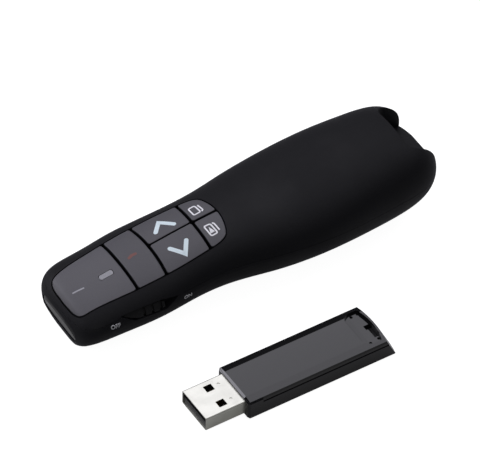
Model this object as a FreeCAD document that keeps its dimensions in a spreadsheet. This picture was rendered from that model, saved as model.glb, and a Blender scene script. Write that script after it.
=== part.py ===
import FreeCAD, Part

import os
import re

import Sketcher
from FreeCAD import Rotation, Vector

# Wireless presentation clicker with its receiver lying beside it, in millimetres.
# +X runs from the nose to the tail, +Y to the user's right, +Z up from the table.
# The origin is the middle of the flat under the palm that the clicker rests on.

# Driving dimensions: lengths in millimetres, angles in degrees
SIZES = {
    # Casing
    "body_length": 114.0,
    "palm_half_width": 18.05,
    "palm_height": 26.6,
    "casing_wall": 1.5,
    "rest_from_nose": 77.5,
    "nose_reach": 7.6,
    "nose_lift_reach": 3.7,
    "nose_drop": 2.2,
    "nose_lean": 1.9,
    "nose_lean_height": 7.6,
    "nose_blend": 16.0,
    "tail_reach": 14.4,
    "seam_gap": 0.1,
    "seam_nose_height": 9.4,
    "seam_brow_height": 10.8,
    "seam_front_height": 11.9,
    "seam_waist_height": 12.8,
    "seam_palm_height": 13.7,
    "seam_tail_height": 14.2,
    "seam_brow_from_nose": 5.8,
    "seam_front_from_nose": 12.6,
    "seam_waist_from_nose": 29.0,
    "seam_palm_from_nose": 42.0,
    "embed": 0.3,
    "overrun": 5.0,
    # Key field
    "field_from_nose": 1.55,
    "field_half_width": 10.05,
    "field_low": 10.3,
    "rim_gap": 0.3,
    "key_gap": 0.75,
    "page_split_gap": 0.4,
    "page_split_side": 0.8,
    "small_split_gap": 0.6,
    "small_split_side": 0.6,
    "panel_length": 17.15,
    "laser_key_length": 7.9,
    "page_key_length": 13.2,
    "small_key_length": 7.1,
    "laser_key_bow": 0.5,
    "key_corner": 0.6,
    "key_edge_round": 0.25,
    "key_thickness": 1.6,
    "key_travel": 0.4,
    "deck_depth": 2.4,
    "deck_thickness": 1.0,
    "stem_radius": 1.3,
    "stem_clearance": 0.25,
    "stem_head_radius": 1.8,
    "stem_head_height": 0.7,
    "stem_head_gap": 0.15,
    "page_key_spread": 4.7,
    "small_key_spread": 4.0,
    # Window in the nose and the pointer light behind it
    "window_half_width": 8.6,
    "window_low": 2.4,
    "window_high": 8.6,
    "window_depth": 6.0,
    "window_gap": 0.1,
    "window_sink": 0.2,
    "window_flange": 0.9,
    "window_flange_thickness": 0.8,
    "barrel_from_nose": 4.1,
    "barrel_length": 7.9,
    "barrel_radius": 2.8,
    "barrel_wall": 0.6,
    "barrel_height": 5.2,
    "lens_thickness": 1.4,
    "lens_recess": 0.6,
    "diode_radius": 1.65,
    "diode_length": 3.6,
    "diode_lead_radius": 0.25,
    "diode_lead_length": 1.6,
    "diode_lead_spread": 0.8,
    "holder_from_nose": 6.2,
    "holder_length": 4.5,
    "holder_half_width": 4.4,
    "holder_height": 8.9,
    # Circuit board and what it carries
    "board_from_nose": 12.5,
    "board_length": 36.6,
    "board_half_width": 10.5,
    "board_underside": 7.0,
    "board_thickness": 1.0,
    "board_corner": 1.0,
    "switch_width": 6.0,
    "switch_height": 3.5,
    "button_radius": 1.75,
    "button_rise": 0.8,
    "button_depth": 0.9,
    "button_clearance": 0.1,
    "chip_side": 5.0,
    "chip_thickness": 0.9,
    "chip_from_nose": 34.5,
    "crystal_length": 3.2,
    "crystal_width": 2.5,
    "crystal_thickness": 0.8,
    "crystal_from_nose": 41.0,
    "led_length": 1.6,
    "led_width": 0.8,
    "led_height": 0.6,
    "led_gap": 0.3,
    "pipe_from_nose": 14.5,
    "pipe_side": 1.1,
    "pipe_length": 4.0,
    "pipe_width": 1.6,
    "pipe_corner": 0.6,
    "pipe_clearance": 0.15,
    "post_radius": 1.8,
    "board_screw_radius": 0.8,
    "board_screw_grip": 2.6,
    "board_screw_head_radius": 1.5,
    "board_screw_head_height": 0.9,
    "front_post_from_nose": 15.7,
    "front_post_side": 7.6,
    "middle_post_from_nose": 29.7,
    "middle_post_side": 8.4,
    # Power slider on the left side
    "slider_from_nose": 20.3,
    "slider_height": 12.45,
    "slider_lean": 2.5,
    "recess_length": 17.1,
    "recess_height": 3.15,
    "recess_depth": 2.0,
    "recess_backing": 1.2,
    "recess_rim": 1.2,
    "recess_corner": 1.2,
    "knob_sink": 0.25,
    "knob_underside": 1.7,
    "slider_travel": 1.5,
    "rib_pitch": 2.4,
    "rib_groove_width": 0.75,
    "rib_groove_depth": 0.5,
    "slot_clearance": 0.35,
    "lever_length": 1.8,
    "lever_drop": 1.6,
    "lever_height": 0.9,
    "lever_reach": 1.2,
    "switch_case_length": 7.6,
    "switch_case_width": 3.6,
    "switch_case_height": 3.5,
    "switch_case_side": 11.2,
    "switch_case_setback": 0.5,
    "switch_clearance": 0.15,
    # Battery compartment
    "battery_from_nose": 57.0,
    "battery_length": 44.5,
    "battery_radius": 5.1,
    "battery_gap": 0.2,
    "battery_clearance": 0.15,
    "battery_rest_height": 2.5,
    "battery_nub_radius": 1.9,
    "battery_nub_length": 1.0,
    "contact_room": 1.5,
    "contact_thickness": 0.4,
    "contact_side": 6.5,
    "contact_bump_radius": 1.8,
    "cradle_wall": 1.0,
    "cradle_floor": 0.6,
    "cradle_half_width": 10.7,
    "door_wall": 0.95,
    "door_rib_pitch": 10.0,
    "door_rib_width": 1.0,
    "door_rib_half_length": 6.5,
    "door_from_nose": 54.4,
    "door_plate": 1.5,
    "door_half_width": 11.5,
    "door_rail_width": 0.95,
    "door_rail_height": 6.2,
    "door_flange_width": 1.4,
    "door_flange_thickness": 0.8,
    "door_clearance": 0.12,
    "door_grip_from_nose": 62.5,
    "door_grip_pitch": 1.6,
    "door_grip_width": 0.7,
    "door_grip_length": 9.0,
    "door_grip_depth": 0.4,
    # Screws that close the casing
    "screw_from_nose": 51.1,
    "screw_side": 9.6,
    "screw_radius": 1.0,
    "screw_length": 8.0,
    "screw_head_radius": 1.9,
    "screw_head_height": 1.3,
    "screw_seat_height": 9.4,
    "screw_head_clearance": 0.25,
    "boss_radius": 3.0,
    # Receiver bay and the notch in the tail
    "bay_lean": 0.9,
    "bay_clearance": 0.15,
    "bay_tail_inset": 0.4,
    "notch_from_nose": 104.3,
    "notch_half_width": 9.2,
    "notch_corner": 3.0,
    "notch_wall": 1.3,
    # Receiver
    "receiver_from_nose": 15.7,
    "receiver_beside": 45.0,
    "receiver_turn": 0.95,
    "plug_length": 12.0,
    "plug_width": 12.0,
    "plug_height": 4.5,
    "plug_wall": 0.3,
    "plug_middle": 3.3,
    "plug_inside": 5.5,
    "plug_corner": 0.5,
    "plug_window_length": 2.4,
    "plug_window_width": 2.3,
    "plug_window_from_tip": 5.2,
    "plug_window_spread": 3.1,
    "dimple_from_tip": 9.3,
    "dimple_radius": 0.45,
    "dimple_depth": 0.15,
    "tongue_setback": 0.4,
    "tongue_width": 11.2,
    "tongue_thickness": 1.9,
    "contact_strip_width": 1.0,
    "contact_strip_height": 0.15,
    "contact_strip_inner_length": 6.4,
    "contact_strip_outer_length": 7.4,
    "contact_strip_setback": 1.4,
    "contact_strip_inner_spread": 1.0,
    "contact_strip_outer_spread": 3.5,
    "case_length": 47.1,
    "case_half_width": 7.8,
    "case_height": 6.6,
    "case_crown": 0.1,
    "case_split": 4.6,
    "case_step": 0.2,
    "case_edge_drop": 0.45,
    "case_edge_inset": 0.45,
    "case_edge_bevel": 0.5,
    "case_top_half_width": 5.2,
    "case_bottom_bevel": 0.5,
    "case_front_bevel": 0.6,
    "case_tail_bow": 1.0,
    "case_tail_lean": 3.3,
    "case_wall": 1.0,
    "case_cavity_half_width": 6.7,
    "case_cavity_tail": 48.0,
    "case_cavity_top": 5.5,
    "case_seam": 0.08,
    "collar_rear": 16.5,
    "collar_height": 5.95,
    "grip_from_tip": 49.3,
    "grip_half_width": 6.3,
    "grip_valley_depth": 1.1,
    "grip_valley_length": 0.8,
    "grip_floor_depth": 1.0,
    "grip_floor_start": 2.0,
    "grip_rim": 0.5,
    "grip_corner": 3.0,
    "grip_pit_radius": 0.45,
    "grip_pit_depth": 0.5,
    "grip_slot_from_tip": 53.1,
    "grip_slot_length": 2.0,
    "grip_slot_near": -4.1,
    "grip_slot_far": 0.9,
    "grip_slot_depth": 1.4,
    "receiver_board_length": 30.0,
    "receiver_board_half_width": 6.2,
    "receiver_board_thickness": 0.8,
    "receiver_chip_from_tip": 27.0,
}

# Places worked out from the driving dimensions
PLACES = {
    "nose": "-rest_from_nose",
    "tail": "nose + body_length",
    "over": "palm_height + overrun",
    "field_front": "nose + field_from_nose",
    "panel_front": "field_front + rim_gap",
    "panel_rear": "panel_front + panel_length",
    "laser_front": "panel_rear + key_gap",
    "laser_rear": "laser_front + laser_key_length",
    "page_front": "laser_rear + key_gap",
    "page_rear": "page_front + page_key_length",
    "small_front": "page_rear + key_gap",
    "small_rear": "small_front + small_key_length",
    "field_rear": "small_rear + rim_gap",
    "laser_key_middle": "(laser_front + laser_rear) / 2",
    "page_key_middle": "(page_front + page_rear) / 2",
    "small_key_middle": "(small_front + small_rear) / 2",
    "deck_underside": "deck_depth + deck_thickness",
    "stem_head_top": "deck_underside + stem_head_gap",
    "board_front": "nose + board_from_nose",
    "board_top": "board_underside + board_thickness",
    "switch_top": "board_top + switch_height",
    "button_top": "switch_top + button_rise",
    "pipe_middle": "nose + pipe_from_nose",
    "slider_middle": "nose + slider_from_nose",
    "recess_underside": "recess_depth + recess_backing",
    "barrel_front": "nose + barrel_from_nose",
    "barrel_rear": "barrel_front + barrel_length",
    "battery_front": "nose + battery_from_nose",
    "battery_rear": "battery_front + battery_length",
    "battery_middle_height": "battery_rest_height + battery_clearance + battery_radius",
    "battery_middle_side": "battery_radius + battery_gap / 2",
    "cradle_front": "battery_front - contact_room",
    "cradle_rear": "battery_rear + contact_room",
    "cradle_underside": "battery_middle_height + battery_radius + battery_clearance",
    "door_front": "nose + door_from_nose",
    "door_flange_half_width": "door_half_width + door_flange_width",
    "door_channel_top": "door_rail_height + door_clearance",
    "door_room_half_width": "door_half_width - door_rail_width",
    "screw_middle": "nose + screw_from_nose",
    "receiver_length": "plug_length + case_length",
    "dock_front": "tail - bay_tail_inset - receiver_length",
    "dock_height": "cradle_underside + cradle_floor + bay_clearance - plug_length * sin(bay_lean)",
    "receiver_front": "nose + receiver_from_nose",
    "case_corner": "receiver_length - case_tail_bow",
    "notch_front": "nose + notch_from_nose",
}

# The body's outline: distance from the nose, half width, top and underside,
# as shares of the body's length, the palm's half width, its height and its height
OUTLINE_SHARES = (
    (0.000, 0.742, 0.459, 0.034),
    (0.092, 0.796, 0.569, 0.000),
    (0.198, 0.838, 0.647, 0.019),
    (0.277, 0.824, 0.700, 0.045),
    (0.356, 0.797, 0.754, 0.052),
    (0.435, 0.826, 0.793, 0.034),
    (0.513, 0.912, 0.824, 0.012),
    (0.592, 0.976, 0.859, -0.002),
    (0.689, 1.000, 0.916, -0.006),
    (0.776, 0.973, 0.966, -0.006),
    (0.855, 0.921, 0.994, -0.002),
    (0.908, 0.888, 0.998, 0.022),
    (1.000, 1.012, 0.913, 0.119),
)
NOSE_STATION_SHARES = (0.012, 0.06, 0.16, 0.34, 0.62)
TAIL_STATION_SHARES = (1.0, 0.62, 0.34, 0.16, 0.06, 0.012)
WIDEST_SHARE = 0.58
NOSE_WIDEST_SHARE = 0.64
TOP_FULLNESS_SHARE = 0.64
UNDERSIDE_FULLNESS_SHARE = 0.57
WINDOW_FULLNESS_SHARE = 0.8
NOSE_BLUNT_SHARE = 0.4
NOSE_PLAN_POWER = 3.2
NOSE_LIFT_POWER = 2.2
TAIL_PLAN_POWER = 2.5
TAIL_LIFT_POWER = 2.7

# The slider's recess and knob: outlines along the recess's length and across its height
RECESS_SHARES = ((-0.50, 0.00), (-0.19, 0.13), (0.21, 0.22), (0.50, 0.00), (0.27, -0.82), (-0.27, -0.79))
KNOB_SHARES = ((-0.435, -0.05), (-0.17, 0.06), (0.17, 0.10), (0.25, -0.02), (0.25, -0.50), (0.17, -0.70),
               (-0.20, -0.70), (-0.435, -0.15))

# Places of the pits in the receiver's grip: along its length and across the grip's half width
GRIP_PIT_SHARES = ((0.871, -0.84), (0.918, -0.78), (0.882, 0.84), (0.917, 0.86))

# Half of the key field's outline: along its length and across its half width
FIELD_SHARES = (
    (0.0000, 0.000),
    (0.0015, 0.300),
    (0.0050, 0.500),
    (0.0120, 0.640),
    (0.0220, 0.740),
    (0.0400, 0.810),
    (0.0750, 0.850),
    (0.1200, 0.875),
    (0.2000, 0.910),
    (0.3530, 0.970),
    (0.5390, 1.000),
    (0.7030, 0.980),
    (0.8370, 0.935),
    (0.9150, 0.881),
    (0.9550, 0.786),
    (0.9810, 0.557),
    (0.9960, 0.260),
    (1.0000, 0.000),
)

WORD = re.compile(r"[a-z][a-z_]*[a-z]")
AXIS_TURNS = {
    "x": Rotation(Vector(0, 1, 0), 90),
    "y": Rotation(Vector(1, 0, 0), -90),
    "z": Rotation(),
}
TINY = 1e-6

doc = FreeCAD.newDocument("PresentationClicker")
nodes = []


# Helpers: the two sheets, linked formulas and the plain solids

def linked(formula):
    """The formula with each named size or place pointing at its cell."""
    def cell(found):
        word = found.group()
        if word in SIZES:
            return "Sizes." + word
        if word in PLACES:
            return "Places." + word
        return word
    return WORD.sub(cell, formula)


def fill_sheet(name, cells):
    """A sheet with one named cell for each entry."""
    sheet = doc.addObject("Spreadsheet::Sheet", name)
    for row, (alias, content) in enumerate(cells.items(), start=1):
        sheet.set(f"A{row}", alias)
        sheet.set(f"B{row}", content)
        sheet.setAlias(f"B{row}", alias)
    return sheet


size_sheet = fill_sheet("Sizes", {alias: str(number) for alias, number in SIZES.items()})
doc.recompute()
place_sheet = fill_sheet("Places", {alias: "=" + linked(text).replace("Places.", "")
                                    for alias, text in PLACES.items()})
doc.recompute()


def value(alias):
    """The number in a named cell."""
    sheet = size_sheet if alias in SIZES else place_sheet
    return float(getattr(sheet, alias))


def bind(thing, **formulas):
    """Binds properties of an object to formulas over the sheets."""
    for name, formula in formulas.items():
        thing.setExpression(name, linked(formula))
    return thing


def put(thing, x="0", y="0", z="0"):
    """Binds an object's position to three formulas."""
    for axis, formula in (("x", x), ("y", y), ("z", z)):
        thing.setExpression(f"Placement.Base.{axis}", linked(formula))
    return thing


def box(label, x, y, z):
    """A block between two formulas along each axis."""
    block = doc.addObject("Part::Box", label)
    bind(block, Length=f"({x[1]}) - ({x[0]})", Width=f"({y[1]}) - ({y[0]})", Height=f"({z[1]}) - ({z[0]})")
    return put(block, x[0], y[0], z[0])


def rod(label, radius, length, x="0", y="0", z="0", axis="z"):
    """A round bar that starts at a point and runs along an axis."""
    bar = doc.addObject("Part::Cylinder", label)
    bar.Placement = FreeCAD.Placement(Vector(), AXIS_TURNS[axis])
    bind(bar, Radius=radius, Height=length)
    return put(bar, x, y, z)


def solid(label, shape):
    """An object that holds a shape made here."""
    thing = doc.addObject("Part::Feature", label)
    thing.Shape = shape
    return thing


def cut(label, base, *tools):
    """The base less every tool."""
    for count, tool in enumerate(tools, start=1):
        step = doc.addObject("Part::Cut", label if count == len(tools) else f"{label}_step_{count}")
        step.Base = base
        step.Tool = tool
        base = step
    return base


def fuse(label, *pieces):
    """The pieces joined, or kept as one group where they don't touch."""
    thing = doc.addObject("Part::MultiFuse", label)
    thing.Shapes = list(pieces)
    return thing


def common(label, *pieces):
    """The space that all the pieces share."""
    thing = doc.addObject("Part::MultiCommon", label)
    thing.Shapes = list(pieces)
    return thing


def node(thing, label=None):
    """Marks an object as a piece to be written out, under its own label."""
    thing.Label = label or thing.Label
    nodes.append(thing)
    return thing


def prism(wire, direction):
    """A closed wire pushed along a direction."""
    return Part.Face(wire).extrude(direction)


# The body's form: sections along three guides, drawn in by a depth under the outer surface

def guide(column, scale):
    """A smooth curve through one column of the body's outline."""
    length = value("body_length")
    stations = [row[0] * length for row in OUTLINE_SHARES]
    points = [Vector(x, row[column] * scale, 0) for x, row in zip(stations, OUTLINE_SHARES)]
    curve = Part.BSplineCurve()
    curve.interpolate(Points=points, Parameters=stations)
    return curve


def rounded(distance, reach, power):
    """Share of the full size at a distance from an end that is rounded over a reach."""
    if distance >= reach:
        return 1.0
    return (1 - (1 - distance / reach) ** power) ** (1 / power)


def arch(station, half_width, widest, crest, fullness):
    """A squarish arch from one side to the other through its crest, as one curve."""
    rise = crest - widest
    poles = [
        Vector(station, -half_width, widest),
        Vector(station, -half_width, widest + fullness * rise),
        Vector(station, -half_width * fullness, crest),
        Vector(station, 0, crest),
        Vector(station, half_width * fullness, crest),
        Vector(station, half_width, widest + fullness * rise),
        Vector(station, half_width, widest),
    ]
    curve = Part.BSplineCurve()
    curve.buildFromPolesMultsKnots(poles, [4, 3, 4], [0, 1, 2], False, 3)
    return curve.toShape()


def section(station, half_width, low, widest, high, under_fullness, top_fullness):
    """A closed cross-section made of an upper and a lower arch."""
    upper = arch(station, half_width, widest, high, top_fullness)
    lower = arch(station, half_width, widest, low, under_fullness)
    return Part.Wire([upper, lower])


def body_form(depth):
    """The body's solid form, its surface drawn in by a depth."""
    length = value("body_length")
    nose = value("nose")
    widths = guide(1, value("palm_half_width"))
    tops = guide(2, value("palm_height"))
    undersides = guide(3, value("palm_height"))
    nose_reach = value("nose_reach")
    tail_reach = value("tail_reach")
    stations = [depth + share * nose_reach for share in NOSE_STATION_SHARES]
    stations += [row[0] * length for row in OUTLINE_SHARES[1:-2]]
    stations += [length - depth - share * tail_reach for share in TAIL_STATION_SHARES]
    wires = []
    for station in stations:
        from_nose = station - depth
        from_tail = length - depth - station
        narrowing = rounded(from_nose, nose_reach, NOSE_PLAN_POWER)
        narrowing *= rounded(from_tail, tail_reach, TAIL_PLAN_POWER)
        lift = rounded(from_nose, value("nose_lift_reach"), NOSE_LIFT_POWER)
        flattening = NOSE_BLUNT_SHARE + (1 - NOSE_BLUNT_SHARE) * lift
        flattening *= rounded(from_tail, tail_reach, TAIL_LIFT_POWER)
        half_width = (widths.value(station).y - depth) * narrowing
        high = tops.value(station).y - depth
        low = undersides.value(station).y + depth
        nose_share = max(0.0, 1 - from_nose / value("nose_blend"))
        widest = low + (WIDEST_SHARE + (NOSE_WIDEST_SHARE - WIDEST_SHARE) * nose_share) * (high - low)
        top = widest + (high - widest) * flattening
        bottom = widest - (widest - low) * flattening
        drop = value("nose_drop") * max(0.0, 1 - from_nose / nose_reach) ** 2
        wires.append(section(nose + station, half_width, bottom - drop, widest - drop, top - drop,
                             UNDERSIDE_FULLNESS_SHARE, TOP_FULLNESS_SHARE))
    return Part.makeLoft(wires, True, False).cut(space_under_nose(depth))


def space_under_nose(depth):
    """The wedge that leaves the nose's front face flat and leaning back towards its foot."""
    front = value("nose") + depth
    ahead = front - value("overrun")
    side = value("over")
    height = value("nose_lean_height")
    corners = [Vector(ahead, -side, height), Vector(front, -side, height),
               Vector(front + value("nose_lean"), -side, 0), Vector(ahead, -side, 0)]
    return prism(Part.makePolygon(corners + corners[:1]), Vector(0, 2 * side, 0))


def skin(depth_name):
    """The body's form at a named depth, made once."""
    label = "form_" + depth_name
    found = doc.getObject(label)
    if found:
        return found
    return solid(label, body_form(value(depth_name)))


def height_at(form, x, y):
    """Height of a form's upper surface over a point."""
    line = Part.makeLine(Vector(x, y, value("seam_nose_height") / 2), Vector(x, y, value("over")))
    inside = form.Shape.common(line)
    return inside.BoundBox.ZMax


outer = solid("form_outer", body_form(0.0))
floor_cut = box("floor_cut", ("nose - overrun", "tail + overrun"),
                ("-palm_half_width - overrun", "palm_half_width + overrun"), ("-overrun", "0"))
outer_form = cut("outer_form", outer, floor_cut)
inner_form = skin("casing_wall")


# The key field: an outline in plan and the upright columns cut from it

def field_column(inset):
    """The upright column inside the key field's outline, drawn in by an inset."""
    front = value("field_front")
    length = value("field_rear") - front
    low = value("field_low")
    half = [Vector(front + x * length, y * value("field_half_width"), low) for x, y in FIELD_SHARES]
    mirrored = [Vector(point.x, -point.y, low) for point in reversed(half[1:-1])]
    points = half + mirrored
    curve = Part.BSplineCurve()
    curve.interpolate(Points=points, PeriodicFlag=True)
    moved = []
    for point in points:
        along = curve.tangent(curve.parameter(point))[0]
        moved.append(point + Vector(along.y, -along.x, 0) * inset)
    drawn_in = Part.BSplineCurve()
    drawn_in.interpolate(Points=moved, PeriodicFlag=True)
    return prism(Part.Wire(drawn_in.toShape()), Vector(0, 0, value("over")))


def bowed_slab(front, rear, front_bow, rear_bow, low_side, high_side):
    """An upright slab between two stations whose ends bow towards the tail."""
    def end(station, bow, start, finish):
        if abs(bow) < TINY:
            return Part.makeLine(Vector(station, start, 0), Vector(station, finish, 0))
        middle = (start + finish) / 2
        share = 1 - (middle / value("field_half_width")) ** 2
        start_x = station + bow * (1 - (start / value("field_half_width")) ** 2)
        finish_x = station + bow * (1 - (finish / value("field_half_width")) ** 2)
        return Part.Arc(Vector(start_x, start, 0), Vector(station + bow * share, middle, 0),
                        Vector(finish_x, finish, 0)).toShape()
    first = end(front, front_bow, low_side, high_side)
    last = end(rear, rear_bow, high_side, low_side)
    high_edge = Part.makeLine(first.Vertexes[-1].Point, last.Vertexes[0].Point)
    low_edge = Part.makeLine(last.Vertexes[-1].Point, first.Vertexes[0].Point)
    return prism(Part.Wire([first, high_edge, last, low_edge]), Vector(0, 0, value("over")))


def is_upright(edge):
    """True for a straight edge that stands vertical, off the middle line."""
    ends = [vertex.Point for vertex in edge.Vertexes]
    if len(ends) < 2 or abs(ends[0].y) < TINY:
        return False
    return abs(ends[0].x - ends[1].x) < TINY and abs(ends[0].y - ends[1].y) < TINY


def stands(edge):
    """True for an edge that runs straight up."""
    first, last = (vertex.Point for vertex in edge.Vertexes)
    return abs(first.x - last.x) < TINY and abs(first.y - last.y) < TINY


def plate(label, front, rear, front_bow, rear_bow, low_side, high_side, underside):
    """A rounded plate of the key field that follows the body's surface."""
    slab = bowed_slab(front, rear, front_bow, rear_bow, low_side, high_side)
    column = inset_column.common(slab)
    column = column.makeFillet(value("key_corner"), [edge for edge in column.Edges if is_upright(edge)])
    piece = column.common(outer_form.Shape).cut(underside.Shape)
    top = max(piece.Faces, key=lambda face: face.CenterOfMass.z)
    return solid(label, piece.makeFillet(value("key_edge_round"), top.Edges))


doc.recompute()
inset_column = field_column(value("rim_gap"))
field = solid("key_field", field_column(0.0))
side = value("palm_half_width")
key_underside = skin("key_thickness")
deck_top = skin("deck_depth")
deck_bottom = skin("deck_underside")

laser_bow = value("laser_key_bow")
page_split, page_gap = value("page_split_side"), value("page_split_gap") / 2
small_split, small_gap = value("small_split_side"), value("small_split_gap") / 2
KEYS = {
    # name: front, rear, front bow, rear bow, left edge, right edge, stem place along and across
    "laser": ("laser_front", "laser_rear", 0.0, laser_bow, -side, side, "laser_key_middle", "0"),
    "previous": ("page_front", "page_rear", laser_bow, 0.0, -side, page_split - page_gap,
                 "page_key_middle", "-page_key_spread"),
    "next": ("page_front", "page_rear", laser_bow, 0.0, page_split + page_gap, side,
             "page_key_middle", "page_key_spread"),
    "play": ("small_front", "small_rear", 0.0, 0.0, -side, small_split - small_gap,
             "small_key_middle", "-small_key_spread"),
    "blank": ("small_front", "small_rear", 0.0, 0.0, small_split + small_gap, side,
              "small_key_middle", "small_key_spread"),
}

stem_space = solid("stem_space", body_form(value("key_thickness") - value("embed")))
head_limit = skin("stem_head_top")
stem_holes = []
switch_cases = []
for name, (front, rear, front_bow, rear_bow, left, right, along, across) in KEYS.items():
    key_plate = plate(f"{name}_plate", value(front), value(rear), front_bow, rear_bow, left, right,
                      key_underside)
    stem_full = rod(f"{name}_stem_full", "stem_radius", "over - button_top", along, across, "button_top")
    stem = common(f"{name}_stem", stem_full, stem_space)
    doc.recompute()
    stem_x, stem_y = stem_full.Placement.Base.x, stem_full.Placement.Base.y
    reach = value("stem_head_radius")
    head_top = min(height_at(head_limit, stem_x - reach, stem_y + reach * offset) for offset in (-1, 0, 1))
    head = Part.makeCylinder(reach, value("stem_head_height"),
                             Vector(stem_x, stem_y, head_top - value("stem_head_height")))
    node(fuse(f"{name}_key", key_plate, stem, solid(f"{name}_stem_head", head)))
    stem_holes.append(rod(f"{name}_stem_hole", "stem_radius + stem_clearance", "over - button_top",
                          along, across, "button_top"))
    switch_box = box(f"{name}_switch_box", (f"{along} - switch_width / 2", f"{along} + switch_width / 2"),
                     (f"{across} - switch_width / 2", f"{across} + switch_width / 2"),
                     ("board_top", "switch_top"))
    button_hole = rod(f"{name}_button_hole", "button_radius + button_clearance",
                      "button_depth + key_travel * 2", along, across,
                      "switch_top - button_depth - key_travel * 2")
    switch_cases.append(cut(f"{name}_switch", switch_box, button_hole))
    node(rod(f"{name}_button", "button_radius", "button_depth + button_rise", along, across,
             "switch_top - button_depth"))
node(fuse("key_switches", *switch_cases))


# Fixed panel in front of the keys, with the light pipe under its mark

panel_plate = plate("panel_plate", value("field_front") - value("overrun"), value("panel_rear"), 0.0, 0.0,
                    -side, side, deck_top)


def rounded_block(label, grow):
    """The light pipe's upright block, grown all round by a clearance."""
    half_length = value("pipe_length") / 2 + grow
    half_width = value("pipe_width") / 2 + grow
    low = value("board_top") + value("led_height") + value("led_gap")
    corner = Vector(value("pipe_middle") - half_length, -value("pipe_side") - half_width, low)
    block = Part.makeBox(2 * half_length, 2 * half_width, value("over") - low, corner)
    uprights = [edge for edge in block.Edges if is_upright(edge)]
    return solid(label, block.makeFillet(value("pipe_corner"), uprights))


pipe_block = rounded_block("pipe_block", 0.0)
pipe_hole = rounded_block("pipe_hole", value("pipe_clearance"))
node(common("light_pipe", pipe_block, outer_form))
node(cut("indicator_panel", panel_plate, pipe_hole))
node(box("status_led", ("pipe_middle - led_length / 2", "pipe_middle + led_length / 2"),
         ("-pipe_side - led_width / 2", "-pipe_side + led_width / 2"),
         ("board_top", "board_top + led_height")))


# Circuit board, as a padded sketch with rounded corners, and its parts

def board_body(label, x, y, z, length, width, thickness, corner):
    """A rectangular board: a sketch on its own base plane, padded and rounded."""
    body = doc.addObject("PartDesign::Body", label)
    sketch = body.newObject("Sketcher::SketchObject", label + "_outline")
    base_plane = next(plane for plane in body.Origin.OriginFeatures if plane.Role == "XY_Plane")
    sketch.AttachmentSupport = [(base_plane, "")]
    sketch.MapMode = "FlatFace"
    corners = [Vector(0, 0, 0), Vector(1, 0, 0), Vector(1, 1, 0), Vector(0, 1, 0)]
    for start, finish in zip(corners, corners[1:] + corners[:1]):
        sketch.addGeometry(Part.LineSegment(start, finish), False)
    for line in range(4):
        sketch.addConstraint(Sketcher.Constraint("Coincident", line, 2, (line + 1) % 4, 1))
        sketch.addConstraint(Sketcher.Constraint("Vertical" if line % 2 else "Horizontal", line))
    sketch.addConstraint(Sketcher.Constraint("Coincident", 0, 1, -1, 1))
    sketch.addConstraint(Sketcher.Constraint("DistanceX", 0, 1, 0, 2, 1))
    sketch.setExpression(f"Constraints[{sketch.ConstraintCount - 1}]", linked(length))
    sketch.addConstraint(Sketcher.Constraint("DistanceY", 1, 1, 1, 2, 1))
    sketch.setExpression(f"Constraints[{sketch.ConstraintCount - 1}]", linked(width))
    pad = body.newObject("PartDesign::Pad", label + "_pad")
    pad.Profile = sketch
    pad.setExpression("Length", linked(thickness))
    doc.recompute()
    fillet = body.newObject("PartDesign::Fillet", label + "_corners")
    uprights = [f"Edge{index}" for index, edge in enumerate(pad.Shape.Edges, start=1) if stands(edge)]
    fillet.Base = (pad, uprights)
    fillet.setExpression("Radius", linked(corner))
    body.Tip = fillet
    return put(body, x, y, z)


SIDES = (("left", "-"), ("right", ""))
POSTS = (("front", "nose + front_post_from_nose", "front_post_side"),
         ("left", "nose + middle_post_from_nose", "-middle_post_side"),
         ("right", "nose + middle_post_from_nose", "middle_post_side"))
board_plate = board_body("board_plate", "board_front", "-board_half_width", "board_underside", "board_length",
                         "board_half_width * 2", "board_thickness", "board_corner")
board_holes = [rod(f"{name}_board_hole", "board_screw_radius", "board_thickness * 2", x, y,
                   "board_underside - board_thickness / 2") for name, x, y in POSTS]
board_notches = [rod(f"board_notch_{way}", "boss_radius + button_clearance", "board_thickness * 2",
                     "screw_middle", sign + "screw_side", "board_underside - board_thickness / 2")
                 for way, sign in SIDES]
node(cut("main_board", board_plate, *board_holes, *board_notches))
screws = []
for name, x, y in POSTS:
    head = rod(f"{name}_screw_head", "board_screw_head_radius", "board_screw_head_height", x, y,
               "board_underside - board_screw_head_height")
    shank = rod(f"{name}_screw_shank", "board_screw_radius", "board_thickness + board_screw_grip", x, y,
                "board_underside")
    screws.append(fuse(f"{name}_board_screw", head, shank))
node(fuse("board_screws", *screws))
node(box("radio_chip", ("nose + chip_from_nose", "nose + chip_from_nose + chip_side"),
         ("-chip_side / 2", "chip_side / 2"), ("board_underside - chip_thickness", "board_underside")))
node(box("radio_crystal", ("nose + crystal_from_nose", "nose + crystal_from_nose + crystal_width"),
         ("-crystal_length / 2", "crystal_length / 2"),
         ("board_underside - crystal_thickness", "board_underside")))


# Power slider: a boat-shaped recess in the left side, a ribbed knob and the switch behind it

def on_slider_line(shape):
    """Moves a shape from the slider's own frame to its place along the seam."""
    line = FreeCAD.Placement(Vector(value("slider_middle"), 0, value("slider_height")),
                             Rotation(Vector(0, 1, 0), -value("slider_lean")))
    shape.Placement = line.multiply(shape.Placement)
    return shape


def side_column(points, label, corner=0.0):
    """An outline on the left side, pushed inwards, its blunt corners rounded."""
    depth = value("palm_half_width") + value("overrun")
    loop = [Vector(x, -depth, z) for x, z in points]
    column = prism(Part.makePolygon(loop + loop[:1]), Vector(0, depth, 0))
    if corner:
        column = column.makeFillet(corner, [edge for edge in column.Edges if is_blunt(edge, points)])
    return solid(label, on_slider_line(column))


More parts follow.
